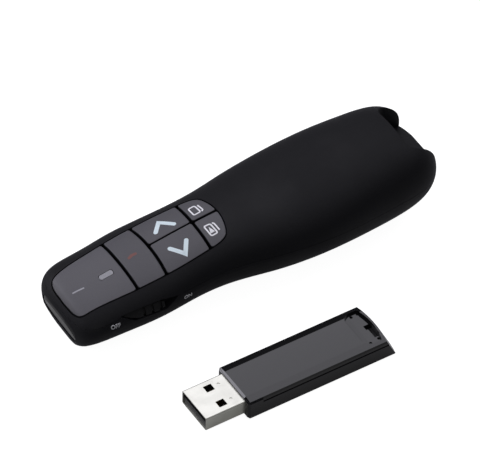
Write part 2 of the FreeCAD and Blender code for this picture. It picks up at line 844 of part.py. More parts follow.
def is_blunt(edge, points):
    """True for an edge along Y at one of the outline's corners away from its two tips."""
    first, last = (vertex.Point for vertex in edge.Vertexes)
    if abs(first.x - last.x) > TINY or abs(first.z - last.z) > TINY:
        return False
    return min(x for x, _ in points) + TINY < first.x < max(x for x, _ in points) - TINY


def slider_outline(shares, grow=0.0):
    """An outline from its shares of the recess's length and height, its corners moved out by a rim."""
    points = [(along * value("recess_length"), across * value("recess_height")) for along, across in shares]
    middle = sum(z for _, z in points) / len(points)
    return [(x + grow * (1 if x > 0 else -1), z + grow * (1 if z > middle else -1)) for x, z in points]


recess_column = side_column(slider_outline(RECESS_SHARES), "recess_column", value("recess_corner"))
rim_column = side_column(slider_outline(RECESS_SHARES, value("recess_rim")), "recess_rim_column")
knob_points = slider_outline(KNOB_SHARES)
knob_column = side_column(knob_points, "knob_column", value("recess_corner") / 2)
front = min(x for x, _ in knob_points)
rear = max(x for x, _ in knob_points)


def groove_columns():
    """Upright grooves between the knob's ribs."""
    half = value("rib_groove_width") / 2
    count = int((rear - front) // value("rib_pitch")) - 1
    tall = value("recess_height") * 2
    first = rear - value("rib_pitch") / 2
    columns = []
    for turn in range(count):
        middle = first - turn * value("rib_pitch")
        corners = [(middle - half, -tall), (middle - half, tall), (middle + half, tall),
                   (middle + half, -tall)]
        columns.append(side_column(corners, f"rib_groove_column_{turn + 1}"))
    return columns


grooves = cut("rib_grooves", fuse("rib_groove_columns", *groove_columns()),
              solid("rib_form", body_form(value("knob_sink") + value("rib_groove_depth"))))
knob_body = common("knob_body", knob_column, solid("knob_form", body_form(value("knob_sink"))))
knob_shell = cut("knob_shell", knob_body, grooves, skin("knob_underside"))


def side_block(label, low, high, half_height, near_side, far_side):
    """A block at the lever's height on the slider's line, between two distances from the middle plane."""
    corner = Vector(low, -far_side, -value("lever_drop") - half_height)
    block = Part.makeBox(high - low, far_side - near_side, 2 * half_height, corner)
    return solid(label, on_slider_line(block))


lever_half = value("lever_length") / 2
lever_middle = (front + rear) / 2
case_face = value("switch_case_side")
stem_face = case_face + value("lever_reach")
knob_stem_space = solid("knob_stem_form", body_form(value("knob_underside") - value("embed")))
knob_stem_block = side_block("knob_stem_block", lever_middle - lever_half, lever_middle + lever_half,
                             value("lever_height") / 2, stem_face, side)
knob_stem = common("knob_stem", knob_stem_block, knob_stem_space)
node(fuse("power_slider", knob_shell, knob_stem))
node(side_block("switch_lever", lever_middle - lever_half, lever_middle + lever_half,
                value("lever_height") / 2, case_face - value("embed"), stem_face))
clearance = value("slot_clearance")
slot = side_block("slider_slot", lever_middle - lever_half - clearance,
                  lever_middle + lever_half + value("slider_travel") + clearance,
                  value("lever_height") / 2 + clearance, case_face, side)
switch_middle = value("slider_middle") + lever_middle + value("slider_travel") / 2
switch_middle += value("switch_case_setback")
switch_block = box("switch_block", (f"{switch_middle} - switch_case_length / 2",
                                    f"{switch_middle} + switch_case_length / 2"),
                   ("-switch_case_side", "-switch_case_side + switch_case_width"),
                   ("board_top", "board_top + switch_case_height"))
lever_slot = side_block("lever_slot", lever_middle - lever_half - clearance,
                        lever_middle + lever_half + value("slider_travel") + clearance,
                        value("lever_height") / 2 + clearance, case_face - 2 * value("embed"),
                        case_face + value("embed"))
node(cut("switch_case", switch_block, lever_slot))
switch_room = box("switch_room",
                  (f"{switch_middle} - switch_case_length / 2 - switch_clearance",
                   f"{switch_middle} + switch_case_length / 2 + switch_clearance"),
                  ("-switch_case_side - switch_clearance",
                   "-switch_case_side + switch_case_width + switch_clearance"),
                  ("board_top", "board_top + switch_case_height + switch_clearance"))


# Space of the docked receiver: its own outline with a clearance, leaned up towards the tail

def case_profile(station, grow, step):
    """The receiver case's cross-section: upright sides, a bevel along each top edge and a crowned top."""
    wide = value("case_half_width") + grow
    low = -grow
    foot = value("case_bottom_bevel")
    high = value("case_height") + grow
    edge = high - value("case_edge_drop")
    points = [Vector(station, -wide + foot, low), Vector(station, wide - foot, low),
              Vector(station, wide, low + foot), Vector(station, wide, value("case_split")),
              Vector(station, wide - step, value("case_split")),
              Vector(station, wide - step, edge - value("case_edge_bevel")),
              Vector(station, wide - value("case_edge_inset"), edge),
              Vector(station, value("case_top_half_width"), high - value("case_crown"))]
    if step < TINY:
        points.pop(4)
    left = [Vector(station, -point.y, point.z) for point in reversed(points[2:])]
    crown = Part.Arc(points[-1], Vector(station, 0, high), left[0]).toShape()
    sides = Part.makePolygon(left + points)
    return Part.Wire([crown] + sides.Edges)


def docked(shape):
    """Moves a shape from the receiver's own frame to its place in the bay."""
    dock = FreeCAD.Placement(Vector(value("dock_front"), 0, value("dock_height")),
                             Rotation(Vector(0, 1, 0), -value("bay_lean")))
    shape.Placement = dock.multiply(shape.Placement)
    return shape


def slot_block(low, high, half_width, bottom, top):
    """A block in the receiver's own frame."""
    return Part.makeBox(high - low, 2 * half_width, top - bottom, Vector(low, -half_width, bottom))


gap = value("bay_clearance")
plug_half = value("plug_width") / 2 + gap
plug_low = value("plug_middle") - value("plug_height") / 2 - gap
plug_high = value("plug_middle") + value("plug_height") / 2 + gap
case_room = prism(case_profile(value("plug_length") - gap, gap, 0.0),
                  Vector(value("case_length") + value("overrun"), 0, 0))
plug_room = slot_block(-gap, value("plug_length"), plug_half, plug_low, plug_high)
bay_space = solid("bay_space", docked(case_room.fuse(plug_room)))


def notch_column(grow):
    """The notch that bares the docked receiver's grip, grown by a wall."""
    start = value("notch_front") - value("dock_front") - grow
    wide = value("notch_half_width") + grow
    block = slot_block(start, value("body_length"), wide, -gap - grow, value("over"))
    corners = [edge for edge in block.Edges if stands(edge) and edge.Vertexes[0].X < start + TINY]
    return docked(block.makeFillet(value("notch_corner") + grow, corners))


notch = solid("tail_notch", notch_column(0.0))
notch_zone = solid("notch_zone", notch_column(value("notch_wall")))


# The hollow inside the casing, with walls left round the keys, the slider and the notch

deck_column = solid("deck_column", field_column(-value("casing_wall")))
deck_zone = cut("deck_zone", deck_column, deck_bottom)
recess_zone = cut("recess_zone", rim_column, skin("recess_underside"))
walls = fuse("inner_walls", deck_zone, recess_zone, notch_zone)
hollow = cut("hollow", inner_form, cut("fitted_walls", walls, switch_room))


# Window in the nose, in a hole that follows its outline

def window_column(label, grow):
    """The window's outline pushed along the body's length, grown by a clearance."""
    start = value("nose") - value("overrun")
    low = value("window_low") - grow
    high = value("window_high") + grow
    middle = (low + high) / 2
    wire = section(start, value("window_half_width") + grow, low, middle, high,
                   WINDOW_FULLNESS_SHARE, WINDOW_FULLNESS_SHARE)
    return solid(label, prism(wire, Vector(value("overrun") + value("window_depth"), 0, 0)))


window_hole = window_column("window_hole", value("window_gap"))
window_front = solid("window_front_form", body_form(value("window_sink")))
window_back = solid("window_back_form", body_form(value("casing_wall") + value("window_flange_thickness")))
window_plug = common("window_plug", window_column("window_column", 0.0), window_front)
window_face = cut("window_face", window_plug, inner_form)
window_rim = common("window_rim", window_column("window_flange_column", value("window_flange")), hollow)
window_edge = cut("window_edge", window_rim, window_back)
node(fuse("front_window", window_face, window_edge))


# Pointer light: a barrel with a lens and a diode, in its holder

barrel_full = rod("barrel_full", "barrel_radius", "barrel_length", "barrel_front", "0",
                  "barrel_height", "x")
barrel_bore = rod("barrel_bore", "barrel_radius - barrel_wall", "barrel_length - barrel_wall + overrun",
                  "barrel_front - overrun", "0", "barrel_height", "x")
diode_hole = rod("diode_hole", "diode_radius", "barrel_length + overrun", "barrel_front", "0",
                 "barrel_height", "x")
node(cut("laser_barrel", barrel_full, barrel_bore, diode_hole))
lens_disc = rod("lens_disc", "barrel_radius - barrel_wall", "lens_thickness",
                "barrel_front + lens_recess", "0", "barrel_height", "x")
lens_ball = doc.addObject("Part::Sphere", "lens_ball")
bind(lens_ball, Radius="barrel_radius * 2")
put(lens_ball, "barrel_front + lens_recess + barrel_radius * 2", "0", "barrel_height")
node(common("laser_lens", lens_disc, lens_ball))
diode_can = rod("diode_can", "diode_radius", "diode_length", "barrel_rear - diode_length + barrel_wall",
                "0", "barrel_height", "x")
leads = [rod(f"diode_lead_{way}", "diode_lead_radius", "diode_lead_length + embed",
             "barrel_rear + barrel_wall - embed", sign + "diode_lead_spread", "barrel_height", "x")
         for way, sign in SIDES]
node(fuse("laser_diode", diode_can, *leads))
holder_block = box("holder_block", ("nose + holder_from_nose", "nose + holder_from_nose + holder_length"),
                   ("-holder_half_width", "holder_half_width"), ("0", "holder_height"))
node(cut("laser_holder", common("holder_fitted", holder_block, hollow), barrel_full))


# The two shells, parted along the seam

shell_form = cut("shell_form", outer_form, hollow)
boss_form = solid("boss_form", body_form(value("casing_wall") - value("embed")))
bosses = [common(f"boss_{way}", boss_form,
                 rod(f"boss_column_{way}", "boss_radius", "over", "screw_middle", sign + "screw_side"))
          for way, sign in SIDES]
casing_full = fuse("casing_full", shell_form, *bosses)
key_pocket = cut("key_pocket", field, deck_top)
recess_pocket = cut("recess_pocket", recess_column, skin("recess_depth"))


def seam_zone(label, shift, above):
    """The space above or below the seam, moved by a shift."""
    nose = value("nose")
    wide = value("palm_half_width") + value("overrun")
    limit = value("over") if above else -value("overrun")
    nose_height = value("seam_nose_height") + shift
    line = [Vector(nose - value("overrun"), -wide, nose_height), Vector(nose, -wide, nose_height)]
    for place in ("brow", "front", "waist", "palm"):
        height = value(f"seam_{place}_height") + shift
        line.append(Vector(nose + value(f"seam_{place}_from_nose"), -wide, height))
    line.append(Vector(value("tail") + value("overrun"), -wide, value("seam_tail_height") + shift))
    loop = line + [Vector(line[-1].x, -wide, limit), Vector(line[0].x, -wide, limit), line[0]]
    return solid(label, prism(Part.makePolygon(loop), Vector(0, 2 * wide, 0)))


upper_zone = seam_zone("upper_zone", value("seam_gap") / 2, True)
lower_zone = seam_zone("lower_zone", -value("seam_gap") / 2, False)
screw_shanks = [rod(f"screw_shank_{way}", "screw_radius", "screw_length", "screw_middle",
                    sign + "screw_side", "screw_seat_height")
                for way, sign in SIDES]
head_wells = [rod(f"screw_well_{way}", "screw_head_radius + screw_head_clearance",
                  "screw_seat_height + overrun", "screw_middle", sign + "screw_side", "-overrun")
              for way, sign in SIDES]
post_form = solid("post_form", body_form(value("deck_underside") - value("embed")))
posts = [common(f"{name}_post", post_form,
                rod(f"{name}_post_column", "post_radius", "over - board_top", x, y, "board_top"))
         for name, x, y in POSTS]
pilots = [rod(f"{name}_pilot", "board_screw_radius", "board_screw_grip", x, y, "board_top")
          for name, x, y in POSTS]

deck_inside = common("deck_inside", deck_column, inner_form)
deck_space_wall = value("casing_wall") - value("seam_gap")
deck_space_column = solid("deck_space_column", field_column(-value("casing_wall") - value("seam_gap")))
deck_space = common("deck_space", deck_space_column, solid("deck_space_form", body_form(deck_space_wall)))
upper_raw = common("upper_raw", casing_full, fuse("upper_space", upper_zone, deck_inside))
upper_posts = fuse("upper_posts", upper_raw, *posts)
node(cut("upper_shell", upper_posts, key_pocket, recess_pocket, slot, pipe_hole, bay_space, notch,
         fuse("stem_holes", *stem_holes), fuse("screw_pilots", *screw_shanks, *pilots), window_hole))

door_web = box("door_web", ("door_front - door_clearance", "tail + overrun"),
               ("-door_half_width - door_clearance", "door_half_width + door_clearance"),
               ("-overrun", "door_channel_top"))
door_slots = box("door_slots", ("door_front - door_clearance", "tail + overrun"),
                 ("-door_flange_half_width - door_clearance", "door_flange_half_width + door_clearance"),
                 ("door_rail_height - door_flange_thickness - door_clearance", "door_channel_top"))
door_channel = fuse("door_channel", door_web, door_slots)
lower_raw = cut("lower_raw", common("lower_part", casing_full, lower_zone), deck_space, key_pocket)
node(cut("lower_shell", lower_raw, recess_pocket, slot, bay_space, door_channel, window_hole,
         fuse("screw_wells", *head_wells, *screw_shanks)))
case_screw_list = []
for way, sign in SIDES:
    head = rod(f"case_screw_head_{way}", "screw_head_radius", "screw_head_height", "screw_middle",
               sign + "screw_side", "screw_seat_height - screw_head_height")
    shank = rod(f"case_screw_shank_{way}", "screw_radius", "screw_length", "screw_middle",
                sign + "screw_side", "screw_seat_height")
    case_screw_list.append(fuse(f"case_screw_{way}", head, shank))
node(fuse("case_screws", *case_screw_list))


# Battery door: a tray with rails and flanges that slides out to the tail

door_plate = box("door_plate_block", ("door_front", "tail"), ("-door_half_width", "door_half_width"),
                 ("0", "door_rail_height"))
door_flange = box("door_flange_block", ("door_front", "tail"),
                  ("-door_flange_half_width", "door_flange_half_width"),
                  ("door_rail_height - door_flange_thickness", "door_rail_height"))
door_room = box("door_room", ("door_front - overrun", "cradle_rear + cradle_wall + door_clearance"),
                ("-door_room_half_width", "door_room_half_width"), ("door_plate", "over"))
door_blank = common("door_blank", fuse("door_blocks", door_plate, door_flange), outer_form)
door_hollow = common("door_hollow", door_room, skin("door_wall"))
ribs = [box(f"door_rib_{row}", (f"cradle_front + door_rib_pitch * {row}",
                                f"cradle_front + door_rib_pitch * {row} + door_rib_width"),
            ("-door_rib_half_length", "door_rib_half_length"), ("door_plate / 2", "battery_rest_height"))
        for row in range(1, 5)]
grip_lines = [box(f"door_grip_{row}",
                  (f"nose + door_grip_from_nose + door_grip_pitch * {row}",
                   f"nose + door_grip_from_nose + door_grip_pitch * {row} + door_grip_width"),
                  ("-door_grip_length / 2", "door_grip_length / 2"), ("-overrun", "door_grip_depth"))
              for row in range(1, 5)]
door_ribbed = fuse("door_ribbed", cut("door_tray", door_blank, door_hollow), *ribs)
node(cut("battery_door", door_ribbed, *grip_lines))


# Frame inside the palm: the bay's floor and sides above the cells, and the walls at their ends

channel = slot_block(value("plug_length") - 2 * value("cradle_wall"), value("receiver_length"),
                     value("case_half_width") + gap + value("cradle_wall"), -gap - value("cradle_floor"),
                     value("case_height") + gap + value("cradle_wall"))
mouth = slot_block(-gap - value("cradle_wall"), value("plug_length"), plug_half + value("cradle_wall"),
                   -gap - value("cradle_floor"), plug_high + value("cradle_wall"))
bay_channel = solid("bay_channel", docked(channel.fuse(mouth)))
end_walls = [box(f"cradle_wall_{way}", x,
                 ("-door_room_half_width + door_clearance", "door_room_half_width - door_clearance"),
                 ("battery_rest_height + door_clearance", "cradle_underside + cradle_floor"))
             for way, x in (("front", ("cradle_front - cradle_wall", "cradle_front")),
                            ("rear", ("cradle_rear", "cradle_rear + cradle_wall")))]
skirts = [box(f"cradle_skirt_{way}", ("cradle_front - cradle_wall", "cradle_rear + cradle_wall"), y,
              ("door_channel_top + door_clearance", "cradle_underside + cradle_floor"))
          for way, y in (("left", ("-cradle_half_width - cradle_wall", "-cradle_half_width")),
                         ("right", ("cradle_half_width", "cradle_half_width + cradle_wall")))]
cradle_roof = box("cradle_roof", ("cradle_front - cradle_wall", "cradle_rear + cradle_wall"),
                  ("-cradle_half_width - cradle_wall", "cradle_half_width + cradle_wall"),
                  ("cradle_underside", "cradle_underside + cradle_floor"))
frame_blocks = fuse("frame_blocks", bay_channel, cradle_roof, *end_walls, *skirts)
node(cut("inner_frame", common("frame_fitted", frame_blocks, hollow), bay_space))


# Cells and their contacts

for name, sign, nub_first in (("left", "-", True), ("right", "", False)):
    y = sign + "battery_middle_side"
    start = "battery_front + battery_nub_length" if nub_first else "battery_front"
    can = rod(f"battery_{name}_can", "battery_radius", "battery_length - battery_nub_length", start, y,
              "battery_middle_height", "x")
    nub_start = "battery_front" if nub_first else "battery_rear - battery_nub_length - embed"
    nub = rod(f"battery_{name}_nub", "battery_nub_radius", "battery_nub_length + embed", nub_start, y,
              "battery_middle_height", "x")
    node(fuse(f"battery_{name}", can, nub))

CONTACTS = {
    # name: leaf from and to, bump's middle, space between the wall and the cells
    "front": (("cradle_front", "cradle_front + contact_thickness"), "battery_front - contact_bump_radius",
              ("cradle_front", "battery_front")),
    "rear": (("cradle_rear - contact_thickness", "cradle_rear"), "battery_rear + contact_bump_radius",
             ("battery_rear", "cradle_rear")),
}
for way, (x, bump_x, room) in CONTACTS.items():
    pieces = []
    for name, sign in (("left", "-"), ("right", "")):
        y = sign + "battery_middle_side"
        leaf = box(f"{way}_contact_leaf_{name}", x, (f"{y} - contact_side / 2", f"{y} + contact_side / 2"),
                   ("battery_middle_height - contact_side / 2", "battery_middle_height + contact_side / 2"))
        ball = doc.addObject("Part::Sphere", f"{way}_contact_ball_{name}")
        bind(ball, Radius="contact_bump_radius")
        put(ball, bump_x, y, "battery_middle_height")
        trim = box(f"{way}_contact_trim_{name}", room, (f"{y} - contact_side", f"{y} + contact_side"),
                   ("0", "over"))
        pieces.append(fuse(f"{way}_contact_{name}", leaf, common(f"{way}_contact_bump_{name}", ball, trim)))
    node(fuse(f"{way}_contacts", *pieces))


# Receiver, in its own frame from the plug's tip, then laid beside the clicker

def laid(label, shape):
    """A piece of the receiver in its place on the table."""
    thing = solid(label, shape)
    turn = Rotation(Vector(0, 0, 1), value("receiver_turn"))
    place = FreeCAD.Placement(Vector(value("receiver_front"), -value("receiver_beside"), 0), turn)
    thing.Placement = place.multiply(shape.Placement)
    return node(thing)


def along_edges(shape, wide):
    """The straight edges along the receiver at the plug's four outer corners."""
    found = []
    for edge in shape.Edges:
        first, last = edge.Vertexes[0].Point, edge.Vertexes[-1].Point
        if abs(first.y - last.y) < TINY and abs(first.z - last.z) < TINY and abs(abs(first.y) - wide) < TINY:
            found.append(edge)
    return found


def plug_shell():
    """The metal sleeve with its windows and dimples."""
    middle = value("plug_middle")
    half = value("plug_height") / 2
    wall = value("plug_wall")
    wide = value("plug_width") / 2
    rear = value("plug_length") + value("plug_inside")
    sleeve = slot_block(0.0, rear, wide, middle - half, middle + half)
    sleeve = sleeve.makeFillet(value("plug_corner"), along_edges(sleeve, wide))
    bore = slot_block(-wall, rear + wall, wide - wall, middle - half + wall, middle + half - wall)
    sleeve = sleeve.cut(bore)
    for way in (-1, 1):
        low_corner = Vector(value("plug_window_from_tip"),
                            way * value("plug_window_spread") - value("plug_window_width") / 2,
                            middle - value("plug_height"))
        window = Part.makeBox(value("plug_window_length"), value("plug_window_width"),
                              value("plug_height") * 2, low_corner)
        sleeve = sleeve.cut(window)
        dimple = Part.makeCylinder(value("dimple_radius"), value("plug_height"),
                                   Vector(value("dimple_from_tip"), way * value("plug_window_spread"),
                                          middle + half - value("dimple_depth")))
        sleeve = sleeve.cut(dimple)
    return sleeve


def plug_inner():
    """The plastic tongue in the lower half of the plug."""
    low = value("plug_middle") - value("plug_height") / 2 + value("plug_wall")
    rear = value("plug_length") + value("plug_inside")
    high = low + value("tongue_thickness")
    return slot_block(value("tongue_setback"), rear, value("tongue_width") / 2, low, high)


def contact_strips():
    """The four strips on the tongue, the outer two longer."""
    low = value("plug_middle") - value("plug_height") / 2 + value("plug_wall") + value("tongue_thickness")
    start = value("contact_strip_setback")
    wide = value("contact_strip_width")
    strips = []
    for spread, length in (("contact_strip_inner_spread", "contact_strip_inner_length"),
                           ("contact_strip_outer_spread", "contact_strip_outer_length")):
        for way in (-1, 1):
            corner = Vector(start, way * value(spread) - wide / 2, low)
            strips.append(Part.makeBox(value(length), wide, value("contact_strip_height"), corner))
    return Part.makeCompound(strips)


def case_column():
    """The receiver case's outline in plan: a bowed tail that leans out to the foot."""
    corner = value("case_corner")
    wide = value("case_half_width") * 2
    tip = value("receiver_length")
    bow = value("case_tail_bow") * (wide / value("case_half_width")) ** 2
    corners = [Vector(tip - bow, -wide, 0), Vector(-corner, -wide, 0), Vector(-corner, wide, 0),
               Vector(tip - bow, wide, 0)]
    tail = Part.Arc(corners[-1], Vector(tip, 0, 0), corners[0]).toShape()
    return prism(Part.Wire([tail] + Part.makePolygon(corners).Edges),
                 Vector(-value("case_tail_lean"), 0, value("case_height") + value("case_crown")))


def case_form():
    """The whole receiver case: the stepped section, the full collar and bevelled ends."""
    start = value("plug_length")
    run = Vector(value("case_length"), 0, 0)
    stepped = prism(case_profile(start, 0.0, value("case_step")), run)
    collar = prism(case_profile(start, 0.0, 0.0), Vector(value("collar_rear") - start, 0, 0))
    form = stepped.fuse(collar).removeSplitter().common(case_column())
    front_edges = [edge for edge in form.Edges
                   if all(abs(vertex.X - start) < TINY for vertex in edge.Vertexes)]
    return form.makeChamfer(value("case_front_bevel"), front_edges)


def case_halves():
    """The receiver's cover and base, parted along the step and hollow round the board."""
    whole = case_form()
    wall = value("case_wall")
    middle = value("plug_middle")
    half = value("plug_height") / 2
    cavity = slot_block(value("plug_length") + value("plug_inside"), value("case_cavity_tail"),
                        value("case_cavity_half_width"), wall, value("case_cavity_top"))
    sleeve_hole = slot_block(0.0, value("plug_length") + value("plug_inside") + wall, value("plug_width") / 2,
                             middle - half, middle + half)
    whole = whole.cut(cavity).cut(sleeve_hole)
    wide = value("case_half_width") * 2
    split = value("case_split")
    seam = value("case_seam")
    collar = slot_block(0.0, value("collar_rear"), wide, -wide, value("collar_height"))
    below = slot_block(0.0, value("receiver_length"), wide, -wide, split).fuse(collar)
    collar_room = slot_block(0.0, value("collar_rear") + seam, wide, -wide, value("collar_height") + seam)
    above = slot_block(0.0, value("receiver_length"), wide, split + seam, wide).cut(collar_room)
    return whole.common(above), whole.common(below)


def finger_grip():
    """The scooped grip at the tail: a valley, a flat floor behind it and a slot."""
    top = value("case_height") + value("case_crown")
    floor = value("case_height") - value("grip_floor_depth")
    valley = value("case_height") - value("grip_valley_depth")
    front = value("grip_from_tip")
    rear = value("receiver_length") - value("case_tail_lean") - value("grip_rim")
    wide = value("grip_half_width")
    side_points = [Vector(front, -wide, top), Vector(front + value("grip_valley_length"), -wide, valley),
                   Vector(front + value("grip_floor_start"), -wide, floor), Vector(rear, -wide, floor),
                   Vector(rear, -wide, top)]
    scoop = prism(Part.makePolygon(side_points + side_points[:1]), Vector(0, 2 * wide, 0))
    bowed = rear - value("case_tail_bow")
    corners = [Vector(bowed, -wide, 0), Vector(front, -wide, 0), Vector(front, wide, 0),
               Vector(bowed, wide, 0)]
    arc = Part.Arc(corners[-1], Vector(rear, 0, 0), corners[0]).toShape()
    plan = prism(Part.Wire([arc] + Part.makePolygon(corners).Edges), Vector(0, 0, top * 2))
    front_corners = [edge for edge in plan.Edges if stands(edge) and edge.Vertexes[0].X < front + TINY]
    plan = plan.makeFillet(value("grip_corner"), front_corners)
    depth = value("grip_slot_depth")
    near = value("grip_slot_near")
    slot_cut = Part.makeBox(value("grip_slot_length"), value("grip_slot_far") - near, top - floor + depth,
                            Vector(value("grip_slot_from_tip"), near, floor - depth))
    pits = [Part.makeCylinder(value("grip_pit_radius"), top - floor + value("grip_pit_depth"),
                              Vector(along * value("receiver_length"), across * wide,
                                     floor - value("grip_pit_depth")))
            for along, across in GRIP_PIT_SHARES]
    return scoop.common(plan).fuse([slot_cut] + pits)


laid("plug_shell", plug_shell())
laid("plug_tongue", plug_inner())
laid("plug_contacts", contact_strips())
cover, base = case_halves()
laid("receiver_cover", cover.cut(finger_grip()))
laid("receiver_base", base)
board_start = value("plug_length") + value("plug_inside")
board_low = value("case_split") - value("receiver_board_thickness")
board_finish = board_start + value("receiver_board_length") - value("plug_inside")
laid("receiver_board", slot_block(board_start, board_finish, value("receiver_board_half_width"), board_low,
                                  value("case_split")))
chip_start = value("receiver_chip_from_tip")
laid("receiver_chip", slot_block(chip_start, chip_start + value("chip_side"), value("chip_side") / 2,
                                 value("case_split"), value("case_split") + value("chip_thickness")))

# Check every object, then write each piece
doc.recompute()
for thing in doc.Objects:
    if "Invalid" in thing.State or "Error" in thing.State:
        raise RuntimeError(f"{thing.Label} failed: {thing.State}")
for thing in nodes:
    shape = thing.Shape
    if shape.isNull() or not shape.isValid() or not shape.Solids:
        raise RuntimeError(f"{thing.Label} has no valid solid")
os.makedirs("parts", exist_ok=True)
for thing in nodes:
    thing.Shape.exportStep(f"parts/{thing.Label}.step")
    print(thing.Label, len(thing.Shape.Solids), round(thing.Shape.Volume, 1))
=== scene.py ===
# %% [markdown]
# # Dressing a presentation clicker
#
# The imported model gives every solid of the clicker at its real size: the two halves of the casing, five
# keys, the power slider, the cells, and the little receiver that lies beside it. This lesson gives those
# solids their finishes, prints the symbols on them, and sets up the light and the camera. Nothing is moved
# or resized. All lengths are in metres, with the nose towards -X and the tail towards +X.

# %% Load the frame
import math

import bmesh
import bpy
from mathutils import Matrix, Vector
from mathutils.bvhtree import BVHTree


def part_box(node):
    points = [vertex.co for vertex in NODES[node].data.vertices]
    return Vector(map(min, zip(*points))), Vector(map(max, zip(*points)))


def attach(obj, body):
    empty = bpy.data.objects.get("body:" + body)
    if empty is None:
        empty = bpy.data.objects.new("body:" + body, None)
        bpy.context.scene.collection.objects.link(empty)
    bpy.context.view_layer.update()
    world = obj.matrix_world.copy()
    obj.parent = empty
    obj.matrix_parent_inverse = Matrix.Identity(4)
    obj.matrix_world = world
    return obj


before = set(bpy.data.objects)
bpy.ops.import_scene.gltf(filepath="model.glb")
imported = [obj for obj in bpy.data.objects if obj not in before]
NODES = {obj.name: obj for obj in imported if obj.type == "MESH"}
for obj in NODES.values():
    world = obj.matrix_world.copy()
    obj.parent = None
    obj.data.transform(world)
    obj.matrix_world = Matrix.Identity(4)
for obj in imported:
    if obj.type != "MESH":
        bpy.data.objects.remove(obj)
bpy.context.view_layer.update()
MM = 0.001

# %% [markdown]
# ## The camera
#
# The clicker is seen from its front left, 45 degrees up, through a long lens, so its edges stay nearly
# parallel. The three directions of the view (right, up and forward) follow from the turn, the height and a
# slight roll, and the camera stands back along the forward direction from the point that it looks at.

# %% Place the camera
VIEW_TURN = math.radians(31.909)
VIEW_HEIGHT = math.radians(45.22)
VIEW_ROLL = math.radians(1.208)
VIEW_DISTANCE = 1.379
VIEW_LENS = 385.4
LOOK_AT = Vector((-21.25, 0.0, 11.1)) * MM
AIM_RIGHT = 0.322 * MM
AIM_UP = -1.691 * MM


def view_directions(turn, height, roll):
    """Right, up and forward directions of a view."""
    level = math.cos(height)
    forward = Vector((math.sin(turn) * level, math.cos(turn) * level, -math.sin(height)))
    level_right = Vector((math.cos(turn), -math.sin(turn), 0.0))
    level_up = level_right.cross(forward)
    right = level_right * math.cos(roll) + level_up * math.sin(roll)
    up = level_up * math.cos(roll) - level_right * math.sin(roll)
    return right, up, forward


view_right, view_up, view_forward = view_directions(VIEW_TURN, VIEW_HEIGHT, VIEW_ROLL)
camera_data = bpy.data.cameras.new("view_camera")
camera_data.lens = VIEW_LENS
camera = bpy.data.objects.new("view_camera", camera_data)
aim = LOOK_AT + view_right * AIM_RIGHT + view_up * AIM_UP
turned = Matrix((view_right, view_up, -view_forward)).transposed()
camera.matrix_world = Matrix.LocRotScale(aim - view_forward * VIEW_DISTANCE, turned.to_quaternion(), None)
bpy.context.scene.collection.objects.link(camera)
bpy.context.scene.camera = camera
bpy.context.scene.view_settings.view_transform = "Standard"
print("camera stands at", [round(part, 3) for part in camera.matrix_world.translation])

# %% [markdown]
# ## Light and floor
#
# Black plastic shows little colour of its own, so what is seen on it is mostly the light around it. One
# very large soft lamp stands high behind the clicker, where the flat tops mirror it, so they look grey and
# the steep sides stay dark. A weak lamp keeps the near side readable. A third one stands low, beyond the
# nose, where the far edge mirrors it as a pale line. The world and the floor look white to the camera, but
# send much less light onto the object, so its blacks stay black. In reflections the world is bright
# overhead and near the horizon, with a dark band between them, as in a studio with a dark wall under its
# softbox.

# %% Helpers for node trees
def add_node(tree, kind, inputs=None, **settings):
    """A new node. Its inputs are numbers, colours, or the output of another node."""
    made = tree.nodes.new(kind)
    for name, setting in settings.items():
        setattr(made, name, setting)
    for name, source in (inputs or {}).items():
        if isinstance(source, bpy.types.NodeSocket):
            tree.links.new(source, made.inputs[name])
        else:
            made.inputs[name].default_value = source
    return made


def math_node(tree, operation, first, second):
    """The result of one operation on two values."""
    return add_node(tree, "ShaderNodeMath", {0: first, 1: second}, operation=operation).outputs[0]


def seen_strength(tree, seen, mirrored):
    """One strength for the camera and clear glass, another for reflections, and none for light on objects."""
    path = add_node(tree, "ShaderNodeLightPath")
    direct = math_node(tree, "MAXIMUM", path.outputs["Is Camera Ray"], path.outputs["Is Transmission Ray"])
    in_gloss = math_node(tree, "MULTIPLY", path.outputs["Is Glossy Ray"], mirrored)
    return math_node(tree, "ADD", math_node(tree, "MULTIPLY", direct, seen), in_gloss)


def between(tree, share, low, high):
    """A value that goes from low to high as the share goes from 0 to 1."""
    spread = add_node(tree, "ShaderNodeMapRange", {"Value": share, "To Min": low, "To Max": high})
    return spread.outputs[0]


# %% The world
WORLD_LIGHT = 0.25
WORLD_SEEN = 1.0
WORLD_MIRRORED = 0.35
WALL_MIRRORED = 0.08
WALL_TOP = 0.62
WALL_FOOT = 0.12
WALL_EDGE = 0.03
WHITE = (1.0, 1.0, 1.0, 1.0)
world = bpy.data.worlds.new("studio_world")
bpy.context.scene.world = world
world.use_nodes = True
sky = world.node_tree


def mirrored_world(tree):
    """Strength of the world in reflections: bright, but for a dark band a little above the horizon."""
    away = add_node(tree, "ShaderNodeTexCoord").outputs["Generated"]
    height = add_node(tree, "ShaderNodeSeparateXYZ", {"Vector": away}).outputs["Z"]
    over = add_node(tree, "ShaderNodeMapRange", {"Value": height, "From Min": WALL_TOP - WALL_EDGE,
                                                 "From Max": WALL_TOP + WALL_EDGE})
    under = add_node(tree, "ShaderNodeMapRange", {"Value": height, "From Min": WALL_FOOT + WALL_EDGE,
                                                  "From Max": WALL_FOOT - WALL_EDGE})
    bright = math_node(tree, "MAXIMUM", over.outputs[0], under.outputs[0])
    return between(tree, bright, WALL_MIRRORED - WORLD_LIGHT, WORLD_MIRRORED - WORLD_LIGHT)


